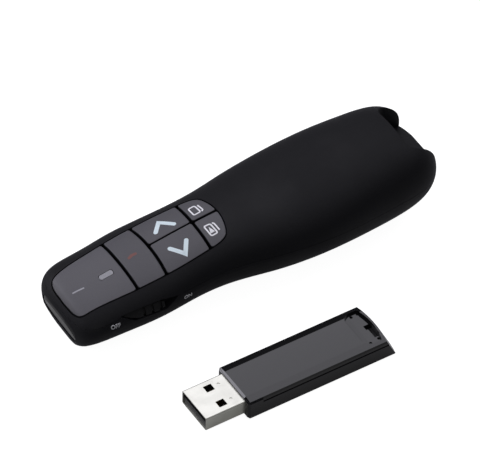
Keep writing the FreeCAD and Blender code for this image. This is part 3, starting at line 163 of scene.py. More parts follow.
extra = seen_strength(sky, WORLD_SEEN - WORLD_LIGHT, mirrored_world(sky))
sky.nodes["Background"].inputs["Color"].default_value = WHITE
sky.links.new(math_node(sky, "ADD", extra, WORLD_LIGHT), sky.nodes["Background"].inputs["Strength"])
print("world lights at", WORLD_LIGHT)

# %% The lamps
LAMP_TARGET = Vector((-0.02, 0.0, 0.01))
SOFTBOX_TINT = (0.92, 0.91, 1.0)
SOFTBOX_PLACE = Vector((0.33, 0.52, 1.11))
SOFTBOX_WIDTH = 2.2
SOFTBOX_HEIGHT = 1.2
SOFTBOX_POWER = 13.0
FILL_PLACE = Vector((-0.6, -0.6, 0.7))
FILL_SIZE = 0.6
FILL_POWER = 1.2
RIM_PLACE = Vector((-0.82, 0.78, 0.42))
RIM_WIDTH = 0.7
RIM_HEIGHT = 0.5
RIM_POWER = 6.0


def soft_lamp(name, place, width, height, power, colour):
    """A rectangular lamp that faces the clicker."""
    data = bpy.data.lights.new(name, "AREA")
    data.shape = "RECTANGLE"
    data.size = width
    data.size_y = height
    data.energy = power
    data.color = colour
    lamp = bpy.data.objects.new(name, data)
    lamp.location = place
    lamp.rotation_euler = (LAMP_TARGET - place).to_track_quat("-Z", "Y").to_euler()
    bpy.context.scene.collection.objects.link(lamp)


soft_lamp("back_softbox", SOFTBOX_PLACE, SOFTBOX_WIDTH, SOFTBOX_HEIGHT, SOFTBOX_POWER, SOFTBOX_TINT)
soft_lamp("front_fill", FILL_PLACE, FILL_SIZE, FILL_SIZE, FILL_POWER, WHITE[:3])
soft_lamp("rim_light", RIM_PLACE, RIM_WIDTH, RIM_HEIGHT, RIM_POWER, SOFTBOX_TINT)
print("the three lamps give", SOFTBOX_POWER + FILL_POWER + RIM_POWER, "watts")

# %% The floor
FLOOR_HALF = 1.5
FLOOR_DROP = 0.1 * MM
FLOOR_GLOW = 0.94
FLOOR_MIRRORED = 0.1
FLOOR_MATT = (0.32, 0.32, 0.32, 1.0)


def floor_material():
    """A white floor that keeps a faint shadow where it is seen, and lights the object little."""
    material = bpy.data.materials.new("white_floor")
    material.use_nodes = True
    tree = material.node_tree
    tree.nodes.clear()
    matt = add_node(tree, "ShaderNodeBsdfDiffuse", {"Color": FLOOR_MATT})
    glow = add_node(tree, "ShaderNodeEmission", {
        "Color": WHITE,
        "Strength": seen_strength(tree, FLOOR_GLOW, FLOOR_MIRRORED),
    })
    both = add_node(tree, "ShaderNodeAddShader", {0: matt.outputs[0], 1: glow.outputs[0]})
    add_node(tree, "ShaderNodeOutputMaterial", {"Surface": both.outputs[0]})
    return material


floor_mesh = bpy.data.meshes.new("studio_floor")
floor_corners = [(-1, -1), (1, -1), (1, 1), (-1, 1)]
floor_points = [(x * FLOOR_HALF, y * FLOOR_HALF, -FLOOR_DROP) for x, y in floor_corners]
floor_mesh.from_pydata(floor_points, [], [(0, 1, 2, 3)])
floor = bpy.data.objects.new("studio_floor", floor_mesh)
bpy.context.scene.collection.objects.link(floor)
floor_mesh.materials.append(floor_material())
print("floor is", 2 * FLOOR_HALF, "m wide")

# %% [markdown]
# ## Effects that several finishes share
#
# Moulded plastic is never perfectly even: the tool leaves a fine spark grain, hands leave shinier patches,
# and dust settles. Metal has brushed lines and faint scratches. Each of these is a node group with named
# inputs, so that every material can use it with its own values. A group only puts out values and colours,
# and the shader stays in the material.

# %% A helper that starts a node group
def new_group(name, inputs, outputs):
    """An empty shader group with its sockets, its input node and its output node."""
    group = bpy.data.node_groups.new(name, "ShaderNodeTree")
    for label, kind, start in inputs:
        socket = group.interface.new_socket(name=label, in_out="INPUT", socket_type=kind)
        if start is not None:
            socket.default_value = start
    for label, kind in outputs:
        group.interface.new_socket(name=label, in_out="OUTPUT", socket_type=kind)
    return group, group.nodes.new("NodeGroupInput"), group.nodes.new("NodeGroupOutput")


def mixed_colour(tree, share, first, second):
    """A colour between two others."""
    mix = tree.nodes.new("ShaderNodeMix")
    mix.data_type = "RGBA"
    for socket, source in ((mix.inputs[0], share), (mix.inputs[6], first), (mix.inputs[7], second)):
        if isinstance(source, bpy.types.NodeSocket):
            tree.links.new(source, socket)
        else:
            socket.default_value = source
    return mix.outputs[2]


# %% Spark grain of a moulding tool
GRAIN_DETAIL = 2.0


def make_grain():
    """Fine rounded grain: a height for the bump and a shade for the colour."""
    group, given, out = new_group(
        "spark_grain",
        [("Vector", "NodeSocketVector", None), ("Grains per metre", "NodeSocketFloat", 3000.0)],
        [("Height", "NodeSocketFloat"), ("Shade", "NodeSocketFloat")])
    size = given.outputs["Grains per metre"]
    fine = add_node(group, "ShaderNodeTexNoise",
                    {"Vector": given.outputs["Vector"], "Scale": size, "Detail": GRAIN_DETAIL})
    cells = add_node(group, "ShaderNodeTexVoronoi", {"Vector": given.outputs["Vector"], "Scale": size},
                     feature="SMOOTH_F1")
    height = math_node(group, "ADD", fine.outputs["Fac"], cells.outputs["Distance"])
    group.links.new(height, out.inputs["Height"])
    group.links.new(fine.outputs["Fac"], out.inputs["Shade"])
    return group


GRAIN = make_grain()
print("group", GRAIN.name)

# %% Patches left by hands
PATCH_DETAIL = 4.0
PATCH_LOW = 0.38
PATCH_HIGH = 0.66


def make_patches():
    """A value that drifts between two levels in soft patches."""
    group, given, out = new_group(
        "handled_patches",
        [("Vector", "NodeSocketVector", None), ("Patches per metre", "NodeSocketFloat", 60.0),
         ("Clean", "NodeSocketFloat", 0.6), ("Handled", "NodeSocketFloat", 0.5)],
        [("Value", "NodeSocketFloat"), ("Share", "NodeSocketFloat")])
    cloud = add_node(group, "ShaderNodeTexNoise", {
        "Vector": given.outputs["Vector"], "Scale": given.outputs["Patches per metre"],
        "Detail": PATCH_DETAIL})
    share = add_node(group, "ShaderNodeMapRange", {
        "Value": cloud.outputs["Fac"], "From Min": PATCH_LOW, "From Max": PATCH_HIGH}).outputs[0]
    level = between(group, share, given.outputs["Clean"], given.outputs["Handled"])
    group.links.new(level, out.inputs["Value"])
    group.links.new(share, out.inputs["Share"])
    return group


PATCHES = make_patches()
print("group", PATCHES.name)

# %% Dust specks
SPECK_CORE = 0.05
SPECK_EDGE = 0.16
SPECK_RARITY = 0.93


def make_dust():
    """A colour with pale specks scattered over it."""
    group, given, out = new_group(
        "settled_dust",
        [("Vector", "NodeSocketVector", None), ("Color", "NodeSocketColor", (0.0, 0.0, 0.0, 1.0)),
         ("Dust Color", "NodeSocketColor", (0.3, 0.3, 0.3, 1.0)),
         ("Specks per metre", "NodeSocketFloat", 700.0), ("Amount", "NodeSocketFloat", 0.3)],
        [("Color", "NodeSocketColor")])
    specks = add_node(group, "ShaderNodeTexVoronoi",
                      {"Vector": given.outputs["Vector"], "Scale": given.outputs["Specks per metre"]})
    near = add_node(group, "ShaderNodeMapRange", {
        "Value": specks.outputs["Distance"], "From Min": SPECK_CORE, "From Max": SPECK_EDGE,
        "To Min": 1.0, "To Max": 0.0}).outputs[0]
    chosen = add_node(group, "ShaderNodeSeparateColor", {"Color": specks.outputs["Color"]}).outputs["Red"]
    few = math_node(group, "GREATER_THAN", chosen, SPECK_RARITY)
    share = math_node(group, "MULTIPLY", math_node(group, "MULTIPLY", near, few), given.outputs["Amount"])
    dusted = mixed_colour(group, share, given.outputs["Color"], given.outputs["Dust Color"])
    group.links.new(dusted, out.inputs["Color"])
    return group


DUST = make_dust()
print("group", DUST.name)

# %% Brushed lines of sheet metal
BRUSH_DETAIL = 3.0


def make_brushing():
    """Long fine lines: a height for the bump and a value for the roughness."""
    group, given, out = new_group(
        "brushed_lines",
        [("Vector", "NodeSocketVector", None), ("Stretch", "NodeSocketVector", (1.0, 20.0, 20.0)),
         ("Lines per metre", "NodeSocketFloat", 500.0), ("Smooth", "NodeSocketFloat", 0.2),
         ("Rough", "NodeSocketFloat", 0.4)],
        [("Height", "NodeSocketFloat"), ("Roughness", "NodeSocketFloat")])
    drawn = add_node(group, "ShaderNodeVectorMath", {0: given.outputs["Vector"], 1: given.outputs["Stretch"]},
                     operation="MULTIPLY")
    lines = add_node(group, "ShaderNodeTexNoise", {
        "Vector": drawn.outputs[0], "Scale": given.outputs["Lines per metre"],
        "Detail": BRUSH_DETAIL})
    group.links.new(lines.outputs["Fac"], out.inputs["Height"])
    rough = between(group, lines.outputs["Fac"], given.outputs["Smooth"], given.outputs["Rough"])
    group.links.new(rough, out.inputs["Roughness"])
    return group


BRUSHING = make_brushing()
print("group", BRUSHING.name)

# %% [markdown]
# ## Finishes
#
# Each finish is one function that builds a Principled material. Values that are the same all over, such as
# the specular level or the sheen, are set on the shader's own sockets. What varies (colour, roughness,
# bump) comes from the groups, placed by the object's own coordinates so that it never slides.

# %% Start a finish
def linear(red, green, blue):
    """A colour given as it looks on a screen, 0 to 255, as the linear colour that shaders use."""
    def one(level):
        """One channel, by the formula of the sRGB standard."""
        share = level / 255
        return share / 12.92 if share <= 0.04045 else ((share + 0.055) / 1.055) ** 2.4
    return one(red), one(green), one(blue), 1.0


def group_node(tree, group, **inputs):
    """One use of a shared group. An underscore in an input's name stands for a space."""
    labelled = {name.replace("_", " "): source for name, source in inputs.items()}
    return add_node(tree, "ShaderNodeGroup", labelled, node_tree=group)


def start_finish(name, **fixed):
    """A material with its shader, its object coordinates, and fixed values on the shader's sockets."""
    material = bpy.data.materials.new(name)
    material.use_nodes = True
    tree = material.node_tree
    shader = tree.nodes["Principled BSDF"]
    for socket, amount in fixed.items():
        shader.inputs[socket.replace("_", " ")].default_value = amount
    place = add_node(tree, "ShaderNodeTexCoord").outputs["Object"]
    return material, tree, shader, place


def bump_into(tree, shader, height, depth, strength=1.0):
    """Bends the surface's normals by a height map of a real depth."""
    bump = add_node(tree, "ShaderNodeBump", {"Height": height, "Distance": depth, "Strength": strength})
    tree.links.new(bump.outputs["Normal"], shader.inputs["Normal"])


# %% Moulded plastic
# Between these upward shares of the normal, the piece's own colour gives way to painted shade on its steep
# sides.
SHADE_EDGE_LOW = 0.6
SHADE_EDGE_HIGH = 0.8
DUST_LIFT = 0.06


def moulded(name, colour, clean, handled, grains=3000.0, depth=0.012 * MM, dust=0.25, drift=0.12, side=None,
            **fixed):
    """Plastic with spark grain, handled patches and a little dust. A side colour, where given, paints shade
    onto the steep sides.
    """
    material, tree, shader, place = start_finish(name, **fixed)
    grain = group_node(tree, GRAIN, Vector=place, Grains_per_metre=grains)
    patches = group_node(tree, PATCHES, Vector=place, Clean=clean, Handled=handled)
    darker = tuple(part * (1 - drift) for part in colour[:3]) + (1.0,)
    lighter = tuple(part * (1 + drift) for part in colour[:3]) + (1.0,)
    tinted = mixed_colour(tree, grain.outputs["Shade"], darker, lighter)
    dusty = tuple(part + DUST_LIFT for part in colour[:3]) + (1.0,)
    dusted = group_node(tree, DUST, Vector=place, Color=tinted, Dust_Color=dusty, Amount=dust)
    shown = dusted.outputs["Color"]
    # Painted shade: faces that turn from up to steep take the dark side colour, for the shade in the gaps
    # between parts.
    if side:
        facing = add_node(tree, "ShaderNodeTexCoord").outputs["Normal"]
        upward = add_node(tree, "ShaderNodeSeparateXYZ", {"Vector": facing}).outputs["Z"]
        unshaded_share = add_node(tree, "ShaderNodeMapRange", {"Value": upward, "From Min": SHADE_EDGE_LOW,
                                                        "From Max": SHADE_EDGE_HIGH}).outputs[0]
        shown = mixed_colour(tree, unshaded_share, side, shown)
    tree.links.new(shown, shader.inputs["Base Color"])
    tree.links.new(patches.outputs["Value"], shader.inputs["Roughness"])
    bump_into(tree, shader, grain.outputs["Height"], depth)
    return material


SOFT_BLACK = linear(11, 11, 15)
KEY_GREY = linear(76, 75, 80)
PANEL_GREY = linear(83, 82, 87)
casing_finish = moulded("soft_touch_black", SOFT_BLACK, clean=0.62, handled=0.5, grains=5000.0, dust=0.04,
                        Specular_IOR_Level=0.16, Sheen_Weight=0.05, Sheen_Roughness=0.35,
                        Sheen_Tint=(0.8, 0.8, 1.0, 1.0))
# The keys and the panel get painted shade, in the casing's black, on their steep sides, where the gaps around
# them are in shade.
key_finish = moulded("satin_key_grey", KEY_GREY, clean=0.5, handled=0.42, grains=4000.0, side=SOFT_BLACK,
                     Specular_IOR_Level=0.3)
panel_finish = moulded("satin_panel_grey", PANEL_GREY, clean=0.5, handled=0.44, grains=4000.0,
                       side=SOFT_BLACK, Specular_IOR_Level=0.3)
slider_finish = moulded("satin_slider_black", linear(14, 14, 16), clean=0.45, handled=0.38,
                        Specular_IOR_Level=0.2)
inner_finish = moulded("inner_dark_grey", linear(70, 70, 74), clean=0.55, handled=0.45,
                       Specular_IOR_Level=0.4)
switch_finish = moulded("switch_black", linear(44, 44, 44), clean=0.4, handled=0.3)
button_finish = moulded("switch_cream", linear(208, 203, 190), clean=0.45, handled=0.38)
chip_finish = moulded("chip_black", linear(34, 34, 36), clean=0.6, handled=0.55)
tongue_finish = moulded("tongue_black", linear(26, 26, 27), clean=0.45, handled=0.38, depth=0.004 * MM)
window_finish = moulded("window_gloss_black", linear(8, 8, 10), clean=0.08, handled=0.14,
                        depth=0.0006 * MM, dust=0.12, Specular_IOR_Level=0.3)
receiver_finish = moulded("receiver_gloss_black", linear(10, 10, 13), clean=0.05, handled=0.09,
                          grains=1500.0, depth=0.0008 * MM, dust=0.04, Specular_IOR_Level=0.5)
pipe_finish = moulded("milky_pipe", linear(134, 134, 140), clean=0.35, handled=0.3, depth=0.003 * MM,
                      dust=0.1, Subsurface_Weight=0.2, Subsurface_Radius=(1.0, 1.0, 1.0),
                      Subsurface_Scale=0.6 * MM)
led_finish = moulded("led_red", linear(200, 60, 50), clean=0.2, handled=0.16, depth=0.001 * MM,
                     Coat_Weight=0.4)
print("plastics made")

# %% Metals
DULL_SHARE = 0.86
METAL_PATCHES = 180.0


def sheet_metal(name, colour, smooth, rough, stretch=(1.0, 20.0, 20.0), lines=500.0, depth=0.002 * MM):
    """Metal with fine brushed lines along one axis, duller where it was handled."""
    material, tree, shader, place = start_finish(name, Metallic=1.0)
    lined = group_node(tree, BRUSHING, Vector=place, Stretch=stretch, Lines_per_metre=lines, Smooth=smooth,
                       Rough=rough)
    patches = group_node(tree, PATCHES, Vector=place, Patches_per_metre=METAL_PATCHES)
    dull = tuple(part * DULL_SHARE for part in colour[:3]) + (1.0,)
    tree.links.new(mixed_colour(tree, patches.outputs["Share"], colour, dull), shader.inputs["Base Color"])
    tree.links.new(lined.outputs["Roughness"], shader.inputs["Roughness"])
    bump_into(tree, shader, lined.outputs["Height"], depth)
    return material


plug_finish = sheet_metal("bright_plug_steel", linear(211, 211, 202), smooth=0.3, rough=0.46)
contact_finish = sheet_metal("nickel_contacts", linear(206, 204, 198), smooth=0.2, rough=0.36)
screw_finish = sheet_metal("zinc_screws", linear(188, 190, 194), smooth=0.25, rough=0.42,
                           stretch=(8.0, 8.0, 1.0))
crystal_finish = sheet_metal("crystal_can_steel", linear(196, 196, 196), smooth=0.3, rough=0.45)
barrel_finish = sheet_metal("turned_brass", linear(206, 172, 100), smooth=0.2, rough=0.36,
                            stretch=(30.0, 1.0, 1.0))
diode_finish = sheet_metal("gilt_can", linear(218, 186, 118), smooth=0.16, rough=0.3)
gilt_finish = sheet_metal("gold_flash", linear(226, 186, 104), smooth=0.14, rough=0.26)
print("metals made")

# %% Lens glass
def lens_glass():
    """Clear glass with faint wipe marks in its gloss."""
    material, tree, shader, place = start_finish("lens_glass", Transmission_Weight=1.0, IOR=1.5,
                                                 Base_Color=(0.95, 0.98, 1.0, 1.0))
    patches = group_node(tree, PATCHES, Vector=place, Patches_per_metre=300.0, Clean=0.02, Handled=0.06)
    tree.links.new(patches.outputs["Value"], shader.inputs["Roughness"])
    return material


lens_finish = lens_glass()
print("glass made")

# %% Circuit board
TRACKS_PER_METRE = 260.0
TRACK_SHARE = 0.09
TRACK_DEPTH = 0.03 * MM
BLACK = (0.0, 0.0, 0.0, 1.0)


def solder_mask():
    """Green lacquer over copper tracks, which show as a paler relief."""
    material, tree, shader, place = start_finish("solder_mask", Coat_Weight=0.3, Coat_Roughness=0.15)
    tracks = add_node(tree, "ShaderNodeTexBrick", {
        "Vector": place, "Scale": TRACKS_PER_METRE, "Mortar Size": TRACK_SHARE, "Color1": BLACK,
        "Color2": BLACK, "Mortar": WHITE})
    shown = tracks.outputs["Fac"]
    green = mixed_colour(tree, shown, linear(16, 66, 38), linear(34, 104, 60))
    tree.links.new(green, shader.inputs["Base Color"])
    patches = group_node(tree, PATCHES, Vector=place, Clean=0.34, Handled=0.26)
    tree.links.new(patches.outputs["Value"], shader.inputs["Roughness"])
    bump_into(tree, shader, shown, TRACK_DEPTH)
    return material


board_finish = solder_mask()
print("board lacquer made")

# %% [markdown]
# ## The cells
#
# An AAA cell is a steel can in a printed plastic sleeve. One end has a bare nub, the other a bare flat
# disc. The sleeve's colours follow the distance along the cell, so they are worked out from the cell's own
# box: a pale band near the nub and a dark sleeve over the rest. The two cells lie in opposite directions.

# %% Sleeve of a cell
NUB_LENGTH = 1.02 * MM
PALE_BAND_LENGTH = 11.0 * MM
SLEEVE_SHADE = 0.12
SLEEVE_DEPTH = 0.001 * MM


def cell_sleeve(name, cell, nub_at_front):
    """A printed sleeve with a pale band towards the nub."""
    material, tree, shader, place = start_finish(name, Coat_Weight=0.4, Coat_Roughness=0.12)
    low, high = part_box(cell)
    along = add_node(tree, "ShaderNodeSeparateXYZ", {"Vector": place}).outputs["X"]
    nub = low.x if nub_at_front else high.x
    away = math_node(tree, "ABSOLUTE", math_node(tree, "SUBTRACT", along, nub), 0.0)
    metal = math_node(tree, "LESS_THAN", away, NUB_LENGTH)
    pale = math_node(tree, "LESS_THAN", away, PALE_BAND_LENGTH)
    grain = group_node(tree, GRAIN, Vector=place, Grains_per_metre=2500.0)
    sleeve = mixed_colour(tree, pale, linear(34, 40, 52), linear(176, 180, 186))
    shaded = mixed_colour(tree, math_node(tree, "MULTIPLY", grain.outputs["Shade"], SLEEVE_SHADE), sleeve,
                          linear(230, 230, 234))
    tree.links.new(mixed_colour(tree, metal, shaded, linear(200, 198, 192)), shader.inputs["Base Color"])
    tree.links.new(metal, shader.inputs["Metallic"])
    patches = group_node(tree, PATCHES, Vector=place, Clean=0.34, Handled=0.24)
    tree.links.new(patches.outputs["Value"], shader.inputs["Roughness"])
    bump_into(tree, shader, grain.outputs["Height"], SLEEVE_DEPTH)
    return material


left_cell_finish = cell_sleeve("left_cell_sleeve", "battery_left", True)
right_cell_finish = cell_sleeve("right_cell_sleeve", "battery_right", False)
print("cell sleeves made")

# %% [markdown]
# ## Giving each piece its finish
#
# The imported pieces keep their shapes. Only the materials in their slots are changed, and every slot of a
# piece gets the same finish.

# %% Put the finishes on the pieces
FINISHES = {
    casing_finish: ("upper_shell", "lower_shell", "battery_door"),
    key_finish: ("laser_key", "previous_key", "next_key", "play_key", "blank_key"),
    panel_finish: ("indicator_panel",),
    slider_finish: ("power_slider",),
    inner_finish: ("inner_frame", "laser_holder"),
    switch_finish: ("key_switches", "switch_case"),
    button_finish: ("laser_button", "previous_button", "next_button", "play_button", "blank_button",
                    "switch_lever"),
    chip_finish: ("radio_chip", "receiver_chip"),
    tongue_finish: ("plug_tongue",),
    window_finish: ("front_window",),
    receiver_finish: ("receiver_cover", "receiver_base"),
    pipe_finish: ("light_pipe",),
    led_finish: ("status_led",),
    plug_finish: ("plug_shell",),
    contact_finish: ("front_contacts", "rear_contacts"),
    screw_finish: ("case_screws", "board_screws"),
    crystal_finish: ("radio_crystal",),
    barrel_finish: ("laser_barrel",),
    diode_finish: ("laser_diode",),
    gilt_finish: ("plug_contacts",),
    lens_finish: ("laser_lens",),
    board_finish: ("main_board", "receiver_board"),
    left_cell_finish: ("battery_left",),
    right_cell_finish: ("battery_right",),
}
finished = []
for finish, names in FINISHES.items():
    for name in names:
        for place in NODES[name].material_slots:
            place.material = finish
        finished.append(name)
print("finished", len(finished), "pieces; left over:", sorted(set(NODES) - set(finished)))

# %% [markdown]
# ## Printing on the pieces
#
# The symbols are printed ink: a film a few hundredths of a millimetre thick that follows the surface under
# it. A flat outline is cut into small faces, each corner is dropped onto the piece with a ray, and the film
# is given its thickness. This keeps the print on the surface from every side.

# %% Outlines of lines and corners
INK_THICKNESS = 0.03 * MM
INK_SINK = 0.02 * MM
LINE_STEP = 0.35 * MM
ROUND_STEPS = 5
MITRE_LIMIT = 0.3


def flat(*points):
    """Points of a drawing, given in millimetres along and across."""
    return [Vector((x * MM, y * MM)) for x, y in points]


def rounded_corners(points, radius, closed):
    """The same line with an arc at each corner."""
    result = []
    for index, corner in enumerate(points):
        if not closed and index in (0, len(points) - 1):
            result.append(corner)
            continue
        before = (points[index - 1] - corner).normalized()
        after = (points[(index + 1) % len(points)] - corner).normalized()
        for step in range(ROUND_STEPS + 1):
            share = step / ROUND_STEPS
            start, end = corner + before * radius, corner + after * radius
            result.append(start.lerp(corner, share).lerp(corner.lerp(end, share), share))
    return result


def spaced(points, closed):
    """The same line with extra points, none further apart than one step."""
    ends = points[1:] + points[:1] if closed else points[1:]
    result = []
    for start, end in zip(points, ends):
        count = max(1, math.ceil((end - start).length / LINE_STEP))
        result += [start.lerp(end, step / count) for step in range(count)]
    return result if closed else result + [points[-1]]


def line_edges(points, width, closed):
    """The two edges of a line of one width, mitred at its corners."""
    pairs = []
    count = len(points)
    for index, point in enumerate(points):
        ways = []
        if closed or index:
            ways.append((point - points[index - 1]).normalized())
        if closed or index < count - 1:
            ways.append((points[(index + 1) % count] - point).normalized())
        sides = [Vector((-way.y, way.x)) for way in ways]
        middle = (sides[0] + sides[-1]).normalized()
        reach = width / 2 / max(MITRE_LIMIT, middle.dot(sides[0]))
        pairs.append((point + middle * reach, point - middle * reach))
    return pairs


print("line helpers ready")

# %% Flat faces of a drawing
def add_line(sheet, points, width, closed=False, round_ends=False):
    """Adds a line of one width to a flat drawing."""
    points = spaced(points, closed)
    pairs = [[sheet.verts.new((edge.x, edge.y, 0.0)) for edge in pair]
             for pair in line_edges(points, width, closed)]
    following = pairs[1:] + pairs[:1] if closed else pairs[1:]
    for (left, right), (next_left, next_right) in zip(pairs, following):
        sheet.faces.new((left, right, next_right, next_left))
    if round_ends:
        ends = ((points[0], points[1], pairs[0]), (points[-1], points[-2], pairs[-1]))
        for end, inner, (left, right) in ends:
            outward = (end - inner).normalized()
            across = (left.co.xy - end).normalized()
            cap = [left]
            for step in range(1, 2 * ROUND_STEPS):
                angle = math.pi * step / (2 * ROUND_STEPS)
                spot = end + (across * math.cos(angle) + outward * math.sin(angle)) * width / 2
                cap.append(sheet.verts.new((spot.x, spot.y, 0.0)))
            sheet.faces.new(cap + [right])


def add_patch(sheet, points):
    """Adds a filled outline to a flat drawing."""
    outline = spaced(points, True)
    centre = sum(points, Vector((0.0, 0.0))) / len(points)
    middle = sheet.verts.new((centre.x, centre.y, 0.0))
    ring = [sheet.verts.new((point.x, point.y, 0.0)) for point in outline]
    for start, end in zip(ring, ring[1:] + ring[:1]):
        sheet.faces.new((middle, start, end))


def drop_on(sheet, node, place, direction):
    """Drops each corner of a drawing onto a piece: place turns a flat point into a start in space."""
    tree = BVHTree.FromPolygons([vertex.co for vertex in node.data.vertices],
                                [face.vertices for face in node.data.polygons])
    missed = 0
    for vertex in sheet.verts:
        start = place(vertex.co.xy)
        spot = tree.ray_cast(start, direction)[0]
        if spot is None:
            spot = tree.find_nearest(start)[0]
            missed += 1
        vertex.co = spot + direction * INK_SINK
    return missed


def printed(name, sheet, node_name, body, ink, place, direction):
    """A film of ink on a piece."""
    missed = drop_on(sheet, NODES[node_name], place, direction)
    raised = bmesh.ops.extrude_face_region(sheet, geom=list(sheet.faces), use_keep_orig=True)
    lifted = [item for item in raised["geom"] if isinstance(item, bmesh.types.BMVert)]
    bmesh.ops.translate(sheet, verts=lifted, vec=-direction * (INK_SINK + INK_THICKNESS))
    bmesh.ops.recalc_face_normals(sheet, faces=sheet.faces)
    mesh = bpy.data.meshes.new(name)
    sheet.to_mesh(mesh)
    sheet.free()
    film = bpy.data.objects.new(name, mesh)
    bpy.context.scene.collection.objects.link(film)
    mesh.materials.append(ink)
    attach(film, body)
    print(name, "has", len(mesh.polygons), "faces,", missed, "missed")


# %% Inks
INK_WEAR = 0.08


def ink(name, colour, roughness=0.45):
    """Printed ink, slightly uneven in tone and gloss."""
    return moulded(name, colour, clean=roughness, handled=roughness - INK_WEAR, grains=2500.0,
                   depth=0.004 * MM, dust=0.05, drift=0.06, Specular_IOR_Level=0.3)


symbol_ink = ink("pale_blue_ink", linear(210, 224, 230))
icon_ink = ink("white_ink", linear(226, 226, 230))
mark_ink = ink("grey_ink", linear(150, 150, 156))
red_ink = ink("brown_red_ink", linear(112, 72, 68))
word_ink = ink("word_ink", linear(178, 178, 182))
dark_ink = ink("dark_ink", linear(22, 22, 24))
print("inks mixed")

# %% [markdown]
# ## Symbols on the keys
#
# The page keys carry a chevron each, pointing away from the middle. The two small keys carry a stack of
# slides: one empty, for a blank screen, and one with a triangle, for starting the show. All of them are
# looked at from straight above, so they are dropped along -Z.

# %% Chevrons
DOWN = Vector((0.0, 0.0, -1.0))
ABOVE = 60.0 * MM
CHEVRON_WIDTH = 1.2 * MM
NEXT_CHEVRON = flat((-45.1, 3.5), (-42.6, 6.3), (-39.7, 3.1))
PREVIOUS_CHEVRON = flat((-44.9, -3.6), (-42.2, -7.2), (-39.9, -3.7))


def from_above(point):
    """Starting point over a drawing of the plan."""
    return Vector((point.x, point.y, ABOVE))


for name, key, points in (("next_chevron", "next_key", NEXT_CHEVRON),
                          ("previous_chevron", "previous_key", PREVIOUS_CHEVRON)):
    sheet = bmesh.new()
    add_line(sheet, points, CHEVRON_WIDTH, round_ends=True)
    printed(name, sheet, key, key, symbol_ink, from_above, DOWN)

# %% Slide symbols
ICON_WIDTH = 0.42 * MM
ICON_CORNER = 0.5 * MM
BLANK_SLIDE = flat((-33.9, 5.5), (-31.95, 5.6), (-31.75, 2.6), (-33.85, 2.5))
BLANK_NEXT_SLIDE = flat((-31.15, 5.3), (-30.85, 3.0), (-31.35, 2.5))
PLAY_SLIDE = flat((-33.8, -2.5), (-31.9, -2.6), (-31.6, -6.1), (-33.55, -6.15))
PLAY_NEXT_SLIDE = flat((-31.35, -2.6), (-30.95, -3.0), (-30.75, -5.6))
PLAY_TRIANGLE = flat((-32.76, -3.3), (-32.0, -5.35), (-33.4, -5.4))


def slide_symbol(name, key, slide, next_slide, triangle=None):
    """A slide with the edge of the next one behind it, and a triangle where the key starts the show."""
    sheet = bmesh.new()
    add_line(sheet, rounded_corners(slide, ICON_CORNER, True), ICON_WIDTH, closed=True)
    add_line(sheet, rounded_corners(next_slide, ICON_CORNER / 2, False), ICON_WIDTH)
    if triangle:
        add_patch(sheet, triangle)
    printed(name, sheet, key, key, icon_ink, from_above, DOWN)


slide_symbol("blank_symbol", "blank_key", BLANK_SLIDE, BLANK_NEXT_SLIDE)
slide_symbol("play_symbol", "play_key", PLAY_SLIDE, PLAY_NEXT_SLIDE, PLAY_TRIANGLE)

# %% Marks on the panel and the pointer key
PANEL_DASH = flat((-72.9, -0.5), (-69.7, -1.2))
PANEL_DASH_WIDTH = 0.45 * MM
POINTER_MARK = flat((-55.2, 0.1), (-54.2, 0.5), (-53.2, 0.4))
POINTER_MARK_WIDTH = 0.9 * MM
sheet = bmesh.new()
add_line(sheet, PANEL_DASH, PANEL_DASH_WIDTH)
printed("panel_dash", sheet, "indicator_panel", "casing", mark_ink, from_above, DOWN)

sheet = bmesh.new()
add_line(sheet, POINTER_MARK, POINTER_MARK_WIDTH, round_ends=True)
printed("pointer_mark", sheet, "laser_key", "laser_key", red_ink, from_above, DOWN)

# %% [markdown]
# ## OFF and ON
#
# The words beside the slider are seen from the left side. Blender's own font gives their outlines, which
# become a flat mesh, are cut finer and dropped onto the lower half of the casing along +Y.

# %% Words beside the slider
INWARDS = Vector((0.0, 1.0, 0.0))
OUTSIDE = -40.0 * MM
WORD_SIZE = 1.6 * MM
WORD_WEIGHT = 0.05 * MM
WORD_MERGE = 0.002 * MM
WORDS = (("off_word", "OFF", -67.55, 10.2), ("on_word", "ON", -45.8, 11.1))


def word_sheet(text, size):
    """The outlines of a word as a flat drawing, centred on zero."""
    curve = bpy.data.curves.new("word_" + text.lower(), "FONT")
    curve.body = text
    curve.size = size
    curve.offset = WORD_WEIGHT
    curve.align_x = "CENTER"
    curve.align_y = "CENTER"
    helper = bpy.data.objects.new(curve.name, curve)
    sheet = bmesh.new()
    sheet.from_mesh(bpy.data.meshes.new_from_object(helper))
    bpy.data.objects.remove(helper)
    bmesh.ops.remove_doubles(sheet, verts=sheet.verts, dist=WORD_MERGE)
    bmesh.ops.triangulate(sheet, faces=sheet.faces)
    return sheet


for name, text, along, height in WORDS:
    def from_left(point, along=along, height=height):
        """Starting point beside a drawing of the left side."""
        return Vector((along * MM + point.x, OUTSIDE, height * MM + point.y))

    sheet = word_sheet(text, WORD_SIZE)
    printed(name, sheet, "lower_shell", "casing", word_ink, from_left, INWARDS)

# %% [markdown]
# ## Small things that show when it is turned over or opened
#
# The closing screws get painted shade in the shape of cross recesses, the cells are marked with plus and
# minus, and the battery door has an arrow that says which way it slides.

# %% Painted shade in the screw recesses, and the door's arrow
UP = Vector((0.0, 0.0, 1.0))
CROSS_HALF = 1.1
CROSS_WIDTH = 0.5 * MM
HEAD_RADIUS = 1.9
ARROW_FROM_FRONT = 19.0
ARROW_LENGTH = 4.0
ARROW_HALF_WIDTH = 3.0


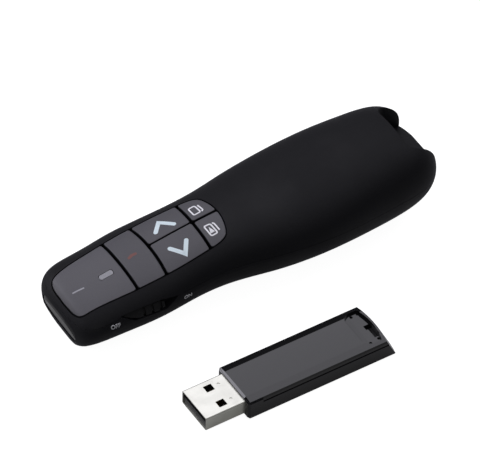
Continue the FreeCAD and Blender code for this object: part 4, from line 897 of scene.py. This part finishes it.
def from_below(point):
    """Starting point under a drawing of the underside."""
    return Vector((point.x, point.y, -ABOVE))


def crosses(name, node_name, places):
    """Paints shade on screw heads: a dark ink cross on each, where its recess would be in shade."""
    sheet = bmesh.new()
    for x, y in places:
        add_line(sheet, flat((x - CROSS_HALF, y), (x + CROSS_HALF, y)), CROSS_WIDTH)
        add_line(sheet, flat((x, y - CROSS_HALF), (x, y + CROSS_HALF)), CROSS_WIDTH)
    printed(name, sheet, node_name, "casing", dark_ink, from_below, UP)


screw_low, screw_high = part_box("case_screws")
screw_x = (screw_low.x + screw_high.x) / 2 / MM
# Painted shade: a dark ink cross on each closing screw stands in for the shade inside its recess.
crosses("case_screw_recess_shade", "case_screws",
        [(screw_x, screw_low.y / MM + HEAD_RADIUS), (screw_x, screw_high.y / MM - HEAD_RADIUS)])

arrow_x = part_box("battery_door")[0].x / MM + ARROW_FROM_FRONT
sheet = bmesh.new()
add_patch(sheet, flat((arrow_x + ARROW_LENGTH, 0.0), (arrow_x, ARROW_HALF_WIDTH),
                      (arrow_x, -ARROW_HALF_WIDTH)))
printed("door_arrow", sheet, "battery_door", "battery_door", mark_ink, from_below, UP)

# %% Plus and minus on the cells
PLUS_FROM_NUB = 7.0
MINUS_FROM_END = 6.0
SIGN_HALF = 1.5
SIGN_WIDTH = 0.7 * MM
for cell, nub_at_front in (("battery_left", True), ("battery_right", False)):
    low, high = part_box(cell)
    middle_y = (low.y + high.y) / 2 / MM
    way = 1 if nub_at_front else -1
    plus_x = (low.x if nub_at_front else high.x) / MM + way * PLUS_FROM_NUB
    minus_x = (high.x if nub_at_front else low.x) / MM - way * MINUS_FROM_END
    for name, x, is_plus in ((cell + "_plus", plus_x, True), (cell + "_minus", minus_x, False)):
        sheet = bmesh.new()
        add_line(sheet, flat((x, middle_y - SIGN_HALF), (x, middle_y + SIGN_HALF)), SIGN_WIDTH)
        if is_plus:
            add_line(sheet, flat((x - SIGN_HALF, middle_y), (x + SIGN_HALF, middle_y)), SIGN_WIDTH)
        printed(name, sheet, cell, "casing", dark_ink if is_plus else icon_ink, from_below, UP)
